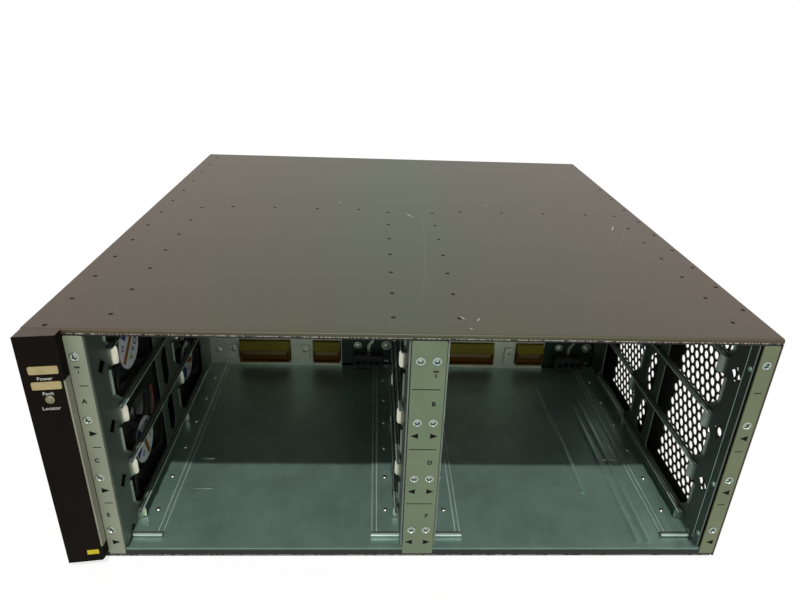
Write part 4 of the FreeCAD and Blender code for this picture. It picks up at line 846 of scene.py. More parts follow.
def vent_outlines(ledge, top, corner):
    """Two wide openings with cut front corners, a pointed slit and a star notch, in Y and Z.

    The star is |y| = a |cos t|^2.4 and |z| = b |sin t|^2.4, which pinches its four sides.
    """
    low = ledge + VENT_GAP
    outlines = [rounded([(start + corner, low), (end, low), (end, top), (start + corner, top),
                         (start, top - corner * 0.8), (start, low + corner)], 3.0) for start, end in VENTS]
    outlines.append(rounded([(118.5, low + 1), (126, low + 7.5), (126, top - 7.5), (118.5, top - 1),
                             (111, top - 7.5), (111, low + 7.5)], 2.0))
    turn = np.linspace(0, 2 * np.pi, 32, endpoint=False)
    y, z = (np.sign(wave) * np.abs(wave) ** STAR_PINCH for wave in (np.cos(turn), np.sin(turn)))
    outlines.append(np.stack([STAR_Y + STAR_WIDE * y, ledge - STAR_DROP + STAR_HIGH * z], axis=-1))
    return outlines


def flare(z, last, out, reach):
    """Rolled edge of an opening, row by row, with a turn t from 0 to T.

    y = last - reach (1 - sin t / sin T) and u = 0.1 + out (1 - cos t) / (1 - cos T)
    """
    z, last, out, reach = (part[:, None] for part in np.broadcast_arrays(z, last, out, reach))
    turn, end = np.radians(np.linspace(0, ROLL_END, 8))[None, :], math.radians(ROLL_END)
    y = last - reach * (1 - np.sin(turn) / math.sin(end))
    u = 0.1 + out * (1 - np.cos(turn)) / (1 - math.cos(end))
    height = z + 0 * turn
    return shell(np.stack([u, y, height], axis=-1), np.stack([u - 0.5, y + 0.7, height], axis=-1))


def scoop(low, ledge, edge, out):
    """The high lead-in under a ledge, a little lower towards its ends: out (1 - 0.3 |2s - 1|^6)."""
    share = np.linspace(0, 1, 13)
    z = low + (ledge - VENT_GAP - low) * share
    return flare(z, edge + SCOOP_REACH, out * (1 - 0.3 * np.abs(2 * share - 1) ** 6), SCOOP_ROLL)


def lip(low, top, corner, edge):
    """The low rolled lip below a scoop, which follows the cut corner of the opening."""
    z = np.linspace(low, top, 30)
    return flare(z, edge + corner * np.clip(1 - (z - low) / corner, 0, 1), LIP_OUT, LIP_ROLL)


def guide_shapes(ledge_out):
    """The dull sheet of one card guide: u is the distance into the bay from the guide's face."""
    outline = [(3.6, 6.4), (3.6, 8.0), (GUIDE_FRONT, 8.0), (GUIDE_FRONT, 170.0), (GUIDE_BACK, 170.0),
               (GUIDE_BACK, 8.0), (12.0, 8.0), (12.0, 6.4)]
    vents = [loop for each in zip(LEDGE_TOPS, VENT_TOPS, VENT_CORNERS) for loop in vent_outlines(*each)]
    wall = laid(plate([outline] + vents, ZINC), ((0, 1, 0), (0, 0, 1), (-1, 0, 0)))
    head_line = rounded([(-0.5, 169.8), (-0.5, GUIDE_TOP - 0.5), (14.0, GUIDE_TOP - 0.5)], 1.4, 5,
                        closed=False)
    head = laid(folded(head_line, ZINC, GUIDE_FRONT, GUIDE_BACK), ALONG_Y)
    shelf = plate([oblong((-0.8, LEDGE_START), (ledge_out, LEDGE_END), 1.5)], ZINC)
    curl = laid(folded(arc((LEDGE_END, 1.2), 1.6, -90, 60, 7), 0.7, 0.3, ledge_out - 0.4), ALONG_X)
    ledge = joined([laid(shelf, origin=(0, 0, -ZINC)), curl])
    ledges = copies(ledge, [(0, 0, top) for top in LEDGE_TOPS])
    tops = [*(LEDGE_TOPS[1:] - VENT_GAP - SCOOP_HIGH), GUIDE_TOP - 5]
    lips = [lip(low + VENT_GAP, top, corner, edge)
            for low, top, corner in zip(LEDGE_TOPS, tops, VENT_CORNERS) for edge, _ in VENTS]
    nose_line = rounded([(FOOT_START + 0.6, FLOOR_TOP), (FOOT_START + 0.6, FOOT_HIGH - 0.3),
                         (FOOT_START + 4.2, FOOT_HIGH - 0.3)], 0.9, 5, closed=False)
    nose = laid(folded(nose_line, ZINC, 0.3, 20.3), ALONG_X)
    return joined([wall, head, ledges, nose] + lips)


def foot_shape():
    """The stepped foot of a card guide."""
    foot_line = rounded([(-0.5, 8.2), (-0.5, FOOT_HIGH - 0.5), (15.0, FOOT_HIGH - 0.5),
                         (16.6, FOOT_HIGH - 1.5), (FOOT_WIDE, FOOT_HIGH - 1.5)], 1.4, 5, closed=False)
    return laid(folded(foot_line, ZINC, FOOT_START + 1.2, GUIDE_BACK), ALONG_Y)


def scoop_shapes(out):
    """The lead-ins at the front of all openings of one card guide."""
    return joined([scoop(max(ledge - VENT_GAP - SCOOP_HIGH, FOOT_HIGH + 0.4), ledge, edge, out)
                   for ledge in LEDGE_TOPS for edge, _ in VENTS])


def edge_highlight_shapes(ledge_out):
    """Painted highlights on one card guide: bright lines along its ledges and along the steps of its foot,
    and a bright bar over its nose.
    """
    edge_line = np.array([(ledge_out, LEDGE_START + 1.5, -0.45), (ledge_out, LEDGE_END - 1.5, -0.45)])
    lines = joined([tube(edge_line, 0.5), tube(edge_line + (1.3 - ledge_out, 0, 0.45), 0.16, sides=6)])
    steps = [tube([(out, FOOT_START + 1.5, high), (out, GUIDE_BACK, high)], 0.4)
             for out, high in ((16.3, 5.45), (FOOT_WIDE, 4.7))]
    bar = plate([oblong((FOOT_START + 0.2, FOOT_HIGH - 0.6), (FOOT_START + 2.2, FOOT_HIGH + 0.5), 0.4)], 20.0)
    ledge_lines = copies(lines, [(0, 0, top) for top in LEDGE_TOPS])
    return joined([ledge_lines] + steps + [laid(bar, ALONG_X, (0.3, 0, 0))])


def right_guide_details():
    """Thin raised lines along the right guide's foot, which paint the streaks that its openings reflect in
    the shiny zinc, the crease behind its front edge and three screws.
    """
    beads = [tube([(out, FOOT_START + 8, FOOT_HIGH), (out, GUIDE_BACK - 4, FOOT_HIGH)], 0.2, sides=6)
             for out in np.linspace(2.2, 13.6, 7)]
    crease = tube([(0.0, 8.6, 9.0), (0.0, 8.6, 169.0)], 0.2, (1, 0, 0), 6)
    screws = copies(laid(screw_head(1.5, 0.8), ALONG_X), [(0, 3.7, z) for z in (17.8, 62.0, 152.6)])
    return joined(beads + [crease, screws])


class CHASSIS_OT_add_card_guides(bpy.types.Operator):
    """Stamped card guides: a wall with openings, thin ledges, flared lead-ins, and a riveted foot"""
    bl_idname = "chassis.add_card_guides"
    bl_label = "Add card guides"

    def execute(self, context):
        guides = context.scene.chassis_guides
        ledge_out, scoop_out = guides.ledge_out / MM, guides.scoop_out / MM
        parts = [("card_", "galvanised_guide", guide_shapes(ledge_out)),
                 # Painted highlight: the lead-ins take a bright zinc that stands in for the light they catch,
                 # while the lips below them stay in the dull guide zinc
                 ("scoops_", "burnished_zinc", scoop_shapes(scoop_out)),
                 ("foot_", "galvanised_floor", foot_shape()),
                 # Painted highlights: pale lines along the guides' edges
                 ("edges_", "rubbed_zinc", edge_highlight_shapes(ledge_out))]
        for node, (face, side) in GUIDES.items():
            if node == "guide_right":
                parts.append(("lines_", "galvanised_floor", right_guide_details()))
            for label, finish_name, shape in parts:
                coat = SHADED_COATS.get(finish_name, finish_name) if node == "guide_right" else finish_name
                into_bay = laid(shape, ((side, 0, 0), (0, 1, 0), (0, 0, 1)), (face, 0, 0))
                piece(label + node, coat, "zinc_sheet", into_bay, replaces=[node] if label == "card_" else [])
        return {"FINISHED"}


class ChassisFloor(bpy.types.PropertyGroup):
    """Sizes of the details on the inner floor."""
    rivet_round: length_property("Rivets", "Diameter of the floor's rivet heads", 0.0038)


RIVET_OUT, RIVET_FIRST, RIVET_PITCH, RIVETS = 9.8, 38, 35.75, 6
FLOOR_BEADS = ((144.4, 58, 208), (169.6, 8, 192), (177.6, 8, 206))
FLOOR_SCRATCHES = (((118, 105), (127, 112)), ((122, 121), (131, 117)), ((109, 131), (121, 138)),
                   ((128, 138), (137, 144)), ((-128, 118), (-119, 131)), ((-96, 66), (-90, 79)))


class CHASSIS_OT_add_floor_details(bpy.types.Operator):
    """Rivets in the guides' feet, and the pressed marks in the inner floor"""
    bl_idname = "chassis.add_floor_details"
    bl_label = "Add floor details"

    def execute(self, context):
        radius = context.scene.chassis_floor.rivet_round / MM / 2
        head = turned([(0, -0.4), (radius, -0.4), (radius, 0.12), (radius * 0.8, 0.5), (radius * 0.45, 0.78),
                       (0, 0.88)], 14)
        spots = [(face + side * RIVET_OUT, RIVET_FIRST + RIVET_PITCH * count, FOOT_HIGH)
                 for face, side in GUIDES.values() for count in range(RIVETS)]
        piece("floor_rivet_heads", "zinc_plated_steel", "plated_screw", copies(head, spots),
              replaces=["floor_rivets"], smooth=50)
        marks = [laid(plate([oblong((-162.5, 0), (-151.1, 1.5), 0.6)], 0.6), origin=(0, 96.9, 0)),
                 laid(plate([oblong((-158.9, 0), (-144.4, 0.7), 0.3)], 0.2), origin=(0, 61.6, 0)),
                 plate([oblong((173.0, 97.4), (185.4, 116.5), 1.2),
                        oblong((173.8, 98.6), (184.6, 115.9), 0.8)], 0.5)]
        marks += [stroke(*ends, 0.5) for ends in FLOOR_SCRATCHES]
        piece("floor_marks", "burnished_zinc", "zinc_sheet", laid(joined(marks), origin=(0, 0, FLOOR_TOP)))
        across = np.linspace(-3, 3, 9)
        crown = np.column_stack([across, 0.6 * np.cos(np.pi * across / 6) ** 2])
        bead = np.concatenate([crown, crown[::-1] * (1, 0) - (0, 0.2)])
        beads = [carried(bead, [(x, start, FLOOR_TOP), (x, end, FLOOR_TOP)]) for x, start, end in FLOOR_BEADS]
        piece("floor_beads", "galvanised_floor", "zinc_sheet", *beads)
        return {"FINISHED"}


class ChassisFans(bpy.types.PropertyGroup):
    """Sizes of the fans."""
    blades: IntProperty(name="Blades", description="Blades of a fan", default=7, min=3, max=13)
    bore: length_property("Air way", "Diameter of a fan's air way", 0.076)
    hub: length_property("Hub", "Diameter of a fan's hub", 0.037)


FANS = {1: (66.0, 48.0), 2: (180.0, 48.0), 3: (66.0, 129.0), 4: (180.0, 129.0)}
FAN_FACE = -191.65
FAN_DEEP, FAN_HALF, FAN_BOLT = 25.0, 40, 35.7
FLANGE_THICK, LABEL_THICK = 3.6, 0.06
LABEL_TURNS = {1: 0.3, 2: 1.1, 3: -0.9, 4: 0.6}
LEAD_TURNS = {"pvc_red": 0.44, "pvc_black": 0.53}


def on_fan(shape, number):
    """A shape about the fan's axis, facing the bay, put at that fan's place."""
    return laid(shape, ALONG_X, (FAN_FACE, *FANS[number]))


def swirl(reach, inner, wide, turn, height):
    """A line that curves out from the hub: radius = inner + wide s, angle = turn + 0.5 s^1.4."""
    radius, angle = inner + wide * reach, turn + 0.5 * reach ** 1.4
    return np.stack([radius * np.cos(angle), radius * np.sin(angle), height], axis=-1)


def housing_shape(bore, hub):
    """Square flanges joined by a barrel and posts, curved arms and a flat motor cup with its bearing."""
    r, h = bore / 2, hub / 2
    bolts = [(x, y, 0) for x in (-FAN_BOLT, FAN_BOLT) for y in (-FAN_BOLT, FAN_BOLT)]
    flange = plate([oblong((-FAN_HALF, -FAN_HALF), (FAN_HALF, FAN_HALF), 5.0, 6), circle((0, 0), r, 64)]
                   + [circle(bolt[:2], 2.2, 14) for bolt in bolts], FLANGE_THICK)
    barrel = turned([(r, -FAN_DEEP + 0.3), (r + 1.7, -FAN_DEEP + 0.3), (r + 1.7, -0.3), (r, -0.3)], 64,
                    ring=True)
    post = turned([(2.2, -21.6), (3.6, -21.6), (3.6, -3.4), (2.2, -3.4)], 14, ring=True)
    cup = turned([(0, -3.0), (h - 0.4, -3.0), (h, -2.6), (h, -0.6), (h - 0.5, -0.1), (h - 1.6, 0.0),
                  (0, -0.35)], 40)
    bearing = turned([(1.55, -15), (4.0, -15), (4.0, -2.9), (1.55, -2.9)], 20, ring=True)
    reach = np.linspace(0, 1, 8)
    path = swirl(reach, h - 0.8, r - h + 1.6, 0, 0 * reach - 1.5)
    arm = carried(oblong((-2.0, -1.4), (2.0, 1.2), 0.6), path, flat_ends=False)
    flanges = copies(flange, [(0, 0, -FLANGE_THICK), (0, 0, -FAN_DEEP)])
    return joined([flanges, barrel, copies(post, bolts), cup, bearing, spun(arm, 4, 0.4)])


def rotor_shape(bore, hub, blades):
    """A cup on a shaft, and blades whose angle, pitch and depth change from root to tip."""
    h = hub / 2 - 0.5
    cup = turned([(0, -23), (h - 0.8, -23), (h, -22.2), (h, -3.5), (h - 1.5, -3.5), (h - 1.5, -21),
                  (0, -21)], 40)
    shaft = turned([(0, -21.2), (1.5, -21.2), (1.5, -2.0), (0, -2.0)], 20)
    share = np.linspace(0, 1, 9)[:, None]
    chord = np.linspace(-1, 1, 9)[None, :]
    radius = h - 0.6 + (bore / 2 - 2.0 - h) * share
    angle = 0.34 * share ** 1.6 + chord * (0.46 - 0.12 * share)
    height = -12.8 + chord * (7.4 - 2.2 * share) + 1.3 * (1 - chord ** 2)
    thick = 0.75 - 0.25 * share + 0 * chord
    across = [radius * np.cos(angle), radius * np.sin(angle)]
    blade = shell(np.stack(across + [height + thick], axis=-1), np.stack(across + [height - thick], axis=-1))
    return joined([cup, shaft, spun(blade, blades)])


def label_shapes(hub):
    """A round film label and its plain coloured fields, each named by its finish."""
    r = hub / 2 - 1.2
    wedge = np.concatenate([arc((0, 0), r - 0.7, 100, 190, 12), arc((0, 0), r * 0.42, 190, 100, 8)])
    signs = [plate([circle((8.6, 6.4), 3.1, 20), circle((8.6, 6.4), 1.9, 20)], INK),
             plate([oblong((5.4, 0.2), (11.8, 1.1))], INK), plate([oblong((5.4, -1.4), (9.8, -0.7))], INK),
             plate([circle((-8.0, -7.2), 2.2, 16), circle((-8.0, -7.2), 1.3, 16)], INK)]
    fields = {"film_blue": plate([wedge], INK),
              "film_brown": plate([oblong((-2.4, -r * 0.9), (2.2, r * 0.42), 0.6)], INK),
              "film_green": plate([[(6.5, -9.0), (11.5, -6.2), (7.2, -2.4)]], INK),
              "ink_black": joined(signs)}
    disc = turned([(0, 0), (r, 0), (r, LABEL_THICK), (0, LABEL_THICK)], 40)
    lifted = {colour: laid(field, origin=(0, 0, LABEL_THICK)) for colour, field in fields.items()}
    return {"film_white": disc, **lifted}


class CHASSIS_OT_add_fans(bpy.types.Operator):
    """Four fans: housings, rotors, plain coloured labels on the motor cups, and their two wires"""
    bl_idname = "chassis.add_fans"
    bl_label = "Add fans"

    def execute(self, context):
        fans = context.scene.chassis_fans
        bore, hub = fans.bore / MM, fans.hub / MM
        housing, rotor = housing_shape(bore, hub), rotor_shape(bore, hub, fans.blades)
        for number in FANS:
            piece(f"fan_frame_{number}", "pbt_black", "fan_plastic", on_fan(housing, number), body="fan_tray",
                  replaces=[f"fan_housing_{number}"])
            piece(f"fan_wheel_{number}", "pbt_black", "rotor_plastic", on_fan(rotor, number),
                  body=f"fan_rotor_{number}", replaces=[f"fan_rotor_{number}"], smooth=45)
        for colour, label in label_shapes(hub).items():
            placed = [on_fan(spun(label, 1, turn), number) for number, turn in LABEL_TURNS.items()]
            piece("fan_label_" + colour, colour, "fan_plastic", *placed, body="fan_tray")
        reach = np.linspace(0, 1, 10)
        height = 0.55 + 0.2 * np.sin(np.pi * reach)
        for colour, turn in LEAD_TURNS.items():
            lead = tube(swirl(reach, hub / 2 - 1.5, bore / 2 - hub / 2 + 4.2, turn, height), 0.65)
            piece("fan_lead_" + colour, colour, "fan_plastic", *[on_fan(lead, number) for number in FANS],
                  body="fan_tray", smooth=60)
        return {"FINISHED"}


class ChassisBackplane(bpy.types.PropertyGroup):
    """Sizes of the backplane's connectors."""
    contact_pitch: length_property("Contacts", "Spacing of the connector contacts", 0.0015)


BAY_EDGES = (-188.2, 22.3)
FRAME_FRONT = 246.0
CONNECTOR_LOW, CONNECTOR_HIGH = 10.2, 22.9
CONNECTORS = {"long": (30.5, 50.5), "short": (105.0, 27.5)}
POSTS, BOARD_SCREWS = (20.6, 92.6), (150.5, 180.0)
POWER_START, POWER_WIDE, POWER_LOW = 146.0, 30.0, -5.1
TRACE = ((161.7, 3.4, 9.2), (161.7, 3.4, 17.0), (165.7, 3.4, 21.0), (165.7, 3.4, 25.8))
PADS = ((4.3, 5.3, 28, 180.0, 16.8), (1.5, 3.4, 20, 180.3, -3.8))


def slot_places(*offsets):
    """The foot of every slot in both bays, moved along X by each offset."""
    return [(edge + offset, FRAME_FRONT, CONNECTOR_LOW + z) for edge in BAY_EDGES for z in SLOT_ROWS
            for offset in offsets]


def connector_shapes(wide):
    """A connector drawn along X: its sloping brow, and the base below with two recesses."""
    brow = [(3.6, 14.2), (-6, 14.2), (-6, 14.8), (-3.0, CONNECTOR_HIGH), (3.6, CONNECTOR_HIGH)]
    base = [(3.6, 0), (-5.2, 0), (-6, 0.8), (-6, 2.2), (-2.6, 2.2), (-2.6, 6.8), (-5.6, 7.0), (-5.6, 8.0),
            (-2.6, 8.2), (-2.6, 13.4), (-5.8, 13.6), (-5.8, 14.2), (3.6, 14.2)]
    ends = [block((x, -5.7, 1.5), (x + 1.8, -1, 14.1)) for x in (0, wide - 1.8)]
    return laid(plate([brow], wide), ALONG_X), joined([laid(plate([base], wide), ALONG_X)] + ends)


def contact_shape(wide, pitch):
    """A row of thin contact blades in the upper recess of a connector."""
    x = np.arange(2.8, wide - 3.0, pitch)
    return copies(block((0, -4.9, 0), (0.6, -1.6, 4.6)), np.column_stack([x, 0 * x, np.full(len(x), 8.6)]))


def screw_head(radius, high):
    """Pan head with a dished drive recess, and a washer under it."""
    return turned([(0, -0.6), (radius * 1.35, -0.6), (radius * 1.35, 0.3), (radius, 0.35),
                   (radius * 0.94, high * 0.75), (radius * 0.7, high), (radius * 0.42, high),
                   (radius * 0.22, high * 0.35), (0, high * 0.3)], 20)


class CHASSIS_OT_add_backplane(bpy.types.Operator):
    """Backplane: slot connectors with contacts, guide posts, screws, power sockets and board marks"""
    bl_idname = "chassis.add_backplane"
    bl_label = "Add backplane"

    def execute(self, context):
        pitch = context.scene.chassis_backplane.contact_pitch / MM
        for label, (start, wide) in CONNECTORS.items():
            brow, base = connector_shapes(wide)
            for kind, colour, shape, replaced in (
                    ("brows", "amber_nylon", brow, [f"slot_connectors_{label}"]),
                    ("sockets", "brown_nylon", base, []),
                    ("contacts", "phosphor_bronze", contact_shape(wide, pitch), [])):
                piece(f"slot_{kind}_{label}", colour, "connector_plastic", copies(shape, slot_places(start)),
                      replaces=replaced)
        face = plate([oblong((0, 2.0), (8.4, 18.4), 2.0), circle((4.2, 13.8), 1.4, 12)], 1.4)
        post = joined([laid(face, FACING_FRONT, (0, -1.6, 0)), block((0.2, -1.7, 2.2), (8.2, -0.02, 3.6)),
                       block((0.6, -1.7, 16.8), (7.8, -0.02, 17.8))])
        piece("guide_posts", "galvanised_frame", "zinc_sheet", copies(post, slot_places(*POSTS)),
              replaces=["connector_posts"])
        small = laid(screw_head(2.1, 1.0), FACING_FRONT, (4.2, -3.0, 13.8))
        large = laid(screw_head(3.0, 1.5), FACING_FRONT, (0, 3.0, 16.8))
        piece("backplane_screw_heads", "zinc_plated_steel", "plated_screw",
              copies(small, slot_places(*POSTS)), copies(large, slot_places(*BOARD_SCREWS)),
              replaces=["backplane_screws"], smooth=50)
        boss = turned([(0, -0.2), (3.6, -0.2), (3.6, 0.25), (3.0, 0.5), (0, 0.5)], 24)
        piece("frame_bosses", "galvanised_frame", "zinc_sheet",
              copies(laid(boss, FACING_FRONT, (8.3, 0, 10.6)), slot_places(0)))
        chambers = [oblong((x, 4.0), (x + 4.6, 10.0), 0.5) for x in (3, 9.2, 16.2, 22.4)]
        mouth = plate([oblong((0, 0), (POWER_WIDE, 14), 1.2)] + chambers, 5.0)
        socket = joined([laid(mouth, FACING_FRONT, (0, -1.0, POWER_LOW)),
                         block((0.2, -1.1, POWER_LOW + 0.2), (POWER_WIDE - 0.2, 3.6, POWER_LOW + 13.8))])
        piece("power_sockets", "black_nylon", "black_connector", copies(socket, slot_places(POWER_START)),
              replaces=["power_connectors"], bevel=0.3)
        marks = [carried(oblong((-1.5, -0.15), (1.5, 0.15)), rounded(TRACE, 3, 5, closed=False), (0, -1, 0))]
        for inner, outer, sides, x, z in PADS:
            pad = turned([(inner, -0.05), (outer, -0.05), (outer, 0.12), (inner, 0.12)], sides, ring=True)
            marks.append(laid(pad, FACING_FRONT, (x, 3.55, z)))
        marks.append(laid(plate([oblong((185.6, -5), (186.1, 31))], 0.1), FACING_FRONT, (0, 3.6, 0)))
        piece("board_marks", "zinc_plated_steel", "plated_screw", copies(joined(marks), slot_places(0)))
        return {"FINISHED"}


class ChassisRear(bpy.types.PropertyGroup):
    """Sizes of the fan tray's handle and the thumb screws."""
    handle_rod: length_property("Handle rod", "Diameter of the handle's rod", 0.005)
    knurls: IntProperty(name="Knurls", description="Ridges round a thumb screw", default=24, min=8, max=60)


KNURLED_FROM, KNURL_DEEP = 4.3, 0.035
SCREW_GAP = 2
THUMB_SCREWS = {"tray_thumb_screws": ("fan_tray_screws", "fan_tray"),
                "supply_thumb_screws": ("psu_cover_screws", "chassis")}


def thumb_screw(knurls):
    """Captive screw with a dished crown; beyond r = 4.3 its ridges are r (1 - 0.035 (1 - cos(knurls t)))."""
    points, faces = turned([(0, 0), (4.2, 0), (4.5, 0.5), (4.5, 6.6), (4.0, 7.4), (2.6, 7.9), (2.2, 7.1),
                            (0, 7.0)], knurls * 2)
    x, y = points[:, :2].T
    ridge = 1 - KNURL_DEEP * (1 - np.cos(knurls * np.arctan2(y, x)))
    points[:, :2] *= np.where(np.hypot(x, y) > KNURLED_FROM, ridge, 1.0)[:, None]
    return joined([(points, faces), turned([(0, -1.2), (1.9, -1.2), (1.9, 0.1), (0, 0.1)], 16)])


def parted(points, axis):
    """Groups of points with an empty gap between them along one axis."""
    order = points[np.argsort(points[:, axis])]
    return np.split(order, np.nonzero(np.diff(order[:, axis]) > SCREW_GAP)[0] + 1)


def screw_middles(node):
    """The middles, in X and Z, of the separate screws in a CAD node."""
    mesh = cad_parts[node].data
    points = np.zeros(len(mesh.vertices) * 3, np.float32)
    mesh.vertices.foreach_get("co", points)
    flat = points.reshape(-1, 3)[:, [0, 2]] / MM
    screws = [some for column in parted(flat, 0) for some in parted(column, 1)]
    return [(some.min(axis=0) + some.max(axis=0)) / 2 for some in screws]


class CHASSIS_OT_add_rear_details(bpy.types.Operator):
    """Bent handle of the fan tray, and the knurled thumb screws of the tray and the supply covers"""
    bl_idname = "chassis.add_rear_details"
    bl_label = "Add rear details"

    def execute(self, context):
        rear = context.scene.chassis_rear
        low, top = (np.array(corner) / MM - (0, FRONT, 0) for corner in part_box("fan_tray_handle"))
        radius = rear.handle_rod / MM / 2
        across, back, face = (low[0] + top[0]) / 2, top[1] - radius, CASE_DEEP + SKIN
        feet = low[2] + radius, top[2] - radius
        path = rounded([(across, low[1], feet[0]), (across, back, feet[0]), (across, back, feet[1]),
                        (across, low[1], feet[1])], 9, 9, closed=False)
        collar = laid(turned([(0, 0), (4.4, 0), (4.4, 0.8), (3.6, 1.6), (0, 1.6)], 24), FACING_BACK)
        piece("tray_handle", "zinc_plated_steel", "plated_screw", tube(path, radius, (1, 0, 0), 16),
              copies(collar, [(across, face, z) for z in feet]), body="fan_tray",
              replaces=["fan_tray_handle"], smooth=60)
        screw = laid(thumb_screw(rear.knurls), FACING_BACK)
        for label, (node, body) in THUMB_SCREWS.items():
            places = [(x, face, z) for x, z in screw_middles(node)]
            piece(label, "zinc_plated_steel", "plated_screw", copies(screw, places), body=body,
                  replaces=[node], smooth=40)
        return {"FINISHED"}


class ChassisStage(bpy.types.PropertyGroup):
    """Camera and light."""
    lens: FloatProperty(name="Lens", description="Focal length of the camera", default=28.28, unit="CAMERA")
    sun: FloatProperty(name="Key light", description="Strength of the key light", default=2.3)
    sky: FloatProperty(name="Sky light", description="Strength of the even light from all round", default=0.4)


CAMERA_PLACE = (-24.345, -549.862, 348.158)
CAMERA_YAW, CAMERA_PITCH, CAMERA_ROLL = 0.0498706, -0.440468, 0.0387057
STAGE_HALF = 9
PAPER_GLOW, PAPER_GLOW_SHARE = 1.08, 0.72
SKY_SEEN = 1.02
SUN_WIDE, SUN_TILT = 1.2, 28.5


def camera_turn():
    """Columns right, up and backwards, from yaw about Z, pitch up and roll about the line of sight."""
    level = math.cos(CAMERA_PITCH)
    ahead = Vector((math.sin(CAMERA_YAW) * level, math.cos(CAMERA_YAW) * level, math.sin(CAMERA_PITCH)))
    right = Vector((math.cos(CAMERA_YAW), -math.sin(CAMERA_YAW), 0))
    up = right.cross(ahead)
    cos, sin = math.cos(CAMERA_ROLL), math.sin(CAMERA_ROLL)
    return Matrix((cos * right + sin * up, cos * up - sin * right, -ahead)).transposed()


def seen_directly(tree):
    """A value that is 1 where the camera or a gloss looks and 0 for light alone, and all the ray kinds."""
    rays = add(tree, "LightPath").outputs
    return add(tree, "Math", {0: rays["Is Camera Ray"], 1: rays["Is Glossy Ray"]}, operation="MAXIMUM"), rays


def backdrop_paper(name):
    """Matt white paper with a faint fleck, which looks evenly lit and still takes the shadow."""
    paper, tree, place = new_finish(name)
    seen, _ = seen_directly(tree)
    fleck = add(tree, "TexNoise", {"Vector": place, "Scale": per(400)})
    tone = add(tree, "MapRange", {"Value": fleck, "To Min": 0.82, "To Max": 0.86})
    share = add(tree, "Math", {0: seen, 1: PAPER_GLOW_SHARE}, operation="MULTIPLY")
    glow = add(tree, "Emission", {"Strength": PAPER_GLOW})
    mixed = add(tree, "MixShader", {0: share, 1: add(tree, "BsdfDiffuse", {"Color": tone}), 2: glow})
    add(tree, "OutputMaterial", {"Surface": mixed})
    return paper


def even_sky(name, strength):
    """A white surround that looks bright itself and gives the object a weak even light."""
    world = bpy.data.worlds.new(name)
    world.use_nodes = True
    tree = world.node_tree
    tree.nodes.clear()
    seen, rays = seen_directly(tree)
    clear = add(tree, "Math", {0: seen, 1: rays["Is Transmission Ray"]}, operation="MAXIMUM")
    power = add(tree, "MapRange", {"Value": clear, "To Min": strength, "To Max": SKY_SEEN})
    add(tree, "OutputWorld", {"Surface": add(tree, "Background", {"Color": (1, 1, 1), "Strength": power})})
    return world


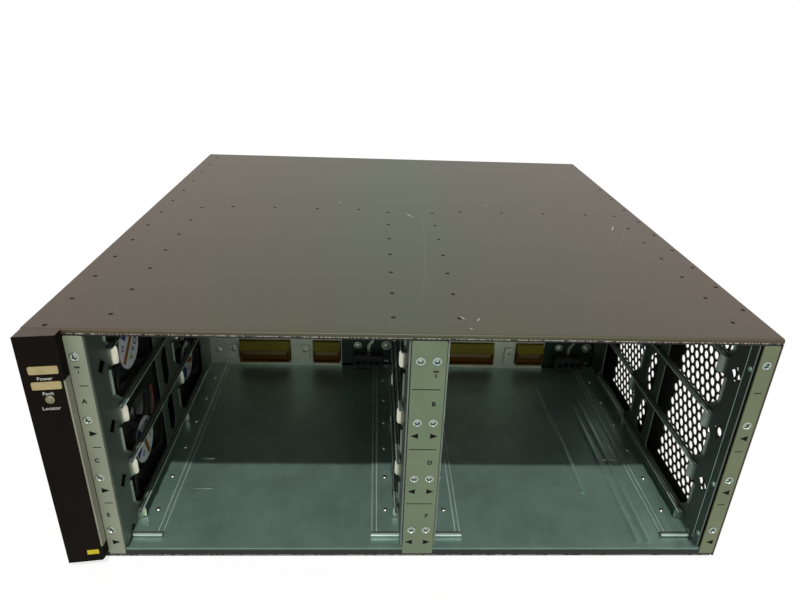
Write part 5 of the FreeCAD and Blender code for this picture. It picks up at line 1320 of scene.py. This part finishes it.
class CHASSIS_OT_add_stage(bpy.types.Operator):
    """Floor, world, key light and camera"""
    bl_idname = "chassis.add_stage"
    bl_label = "Add stage"

    def execute(self, context):
        scene = context.scene
        stage = scene.chassis_stage
        corners = [(-STAGE_HALF, -STAGE_HALF, 0), (STAGE_HALF, -STAGE_HALF, 0), (STAGE_HALF, STAGE_HALF, 0),
                   (-STAGE_HALF, STAGE_HALF, 0)]
        mesh = bpy.data.meshes.new("stage_floor")
        mesh.from_pydata(corners, [], [(0, 1, 2, 3)])
        mesh.materials.append(backdrop_paper("stage_paper"))
        floor = bpy.data.objects.new("stage_floor", mesh)
        lamp = bpy.data.lights.new("key", "SUN")
        lamp.energy = stage.sun
        lamp.angle = math.radians(SUN_WIDE)
        key = bpy.data.objects.new("key", lamp)
        key.rotation_euler = (math.radians(SUN_TILT), 0, 0)
        lens = bpy.data.cameras.new("camera")
        lens.lens = stage.lens
        lens.sensor_width = 36
        lens.clip_start, lens.clip_end = 0.01, 50
        camera = bpy.data.objects.new("camera", lens)
        camera.matrix_world = Matrix.Translation(Vector(CAMERA_PLACE) * MM) @ camera_turn().to_4x4()
        for made in (floor, key, camera):
            scene.collection.objects.link(made)
        scene.world = even_sky("stage_sky", stage.sky)
        scene.camera = camera
        scene.view_settings.view_transform = "Standard"
        return {"FINISHED"}


OPERATORS = (CHASSIS_OT_dress_sheet_metal, CHASSIS_OT_add_lid, CHASSIS_OT_add_side_walls,
             CHASSIS_OT_add_front_strips, CHASSIS_OT_add_bezel_details, CHASSIS_OT_add_card_guides,
             CHASSIS_OT_add_floor_details, CHASSIS_OT_add_fans, CHASSIS_OT_add_backplane,
             CHASSIS_OT_add_rear_details, CHASSIS_OT_add_stage)
SETTINGS = {"chassis_colours": ChassisColours, "chassis_case": ChassisCase, "chassis_strips": ChassisStrips,
            "chassis_bezel": ChassisBezel, "chassis_guides": ChassisGuides, "chassis_floor": ChassisFloor,
            "chassis_fans": ChassisFans, "chassis_backplane": ChassisBackplane, "chassis_rear": ChassisRear,
            "chassis_stage": ChassisStage}


class CHASSIS_PT_build(bpy.types.Panel):
    """Sizes, colours and build steps of the chassis"""
    bl_idname = "CHASSIS_PT_build"
    bl_label = "Modular chassis switch"
    bl_space_type = "VIEW_3D"
    bl_region_type = "UI"
    bl_category = "Chassis"

    def draw(self, context):
        for name in SETTINGS:
            settings = getattr(context.scene, name)
            box = self.layout.box()
            for setting in settings.__annotations__:
                box.prop(settings, setting)
        for operator in OPERATORS:
            self.layout.operator(operator.bl_idname)


def register():
    """Make the settings, the build steps and the panel known."""
    for name, group in SETTINGS.items():
        bpy.utils.register_class(group)
        setattr(bpy.types.Scene, name, PointerProperty(type=group))
    for made in OPERATORS + (CHASSIS_PT_build,):
        bpy.utils.register_class(made)


def unregister():
    """Take the panel, the build steps and the settings away again."""
    for made in reversed(OPERATORS + (CHASSIS_PT_build,)):
        bpy.utils.unregister_class(made)
    for name, group in SETTINGS.items():
        delattr(bpy.types.Scene, name)
        bpy.utils.unregister_class(group)


def main():
    register()
    for operator in OPERATORS:
        family, action = operator.bl_idname.split(".")
        getattr(getattr(bpy.ops, family), action)()
    bpy.context.view_layer.update()


if __name__ == "__main__":
    main()
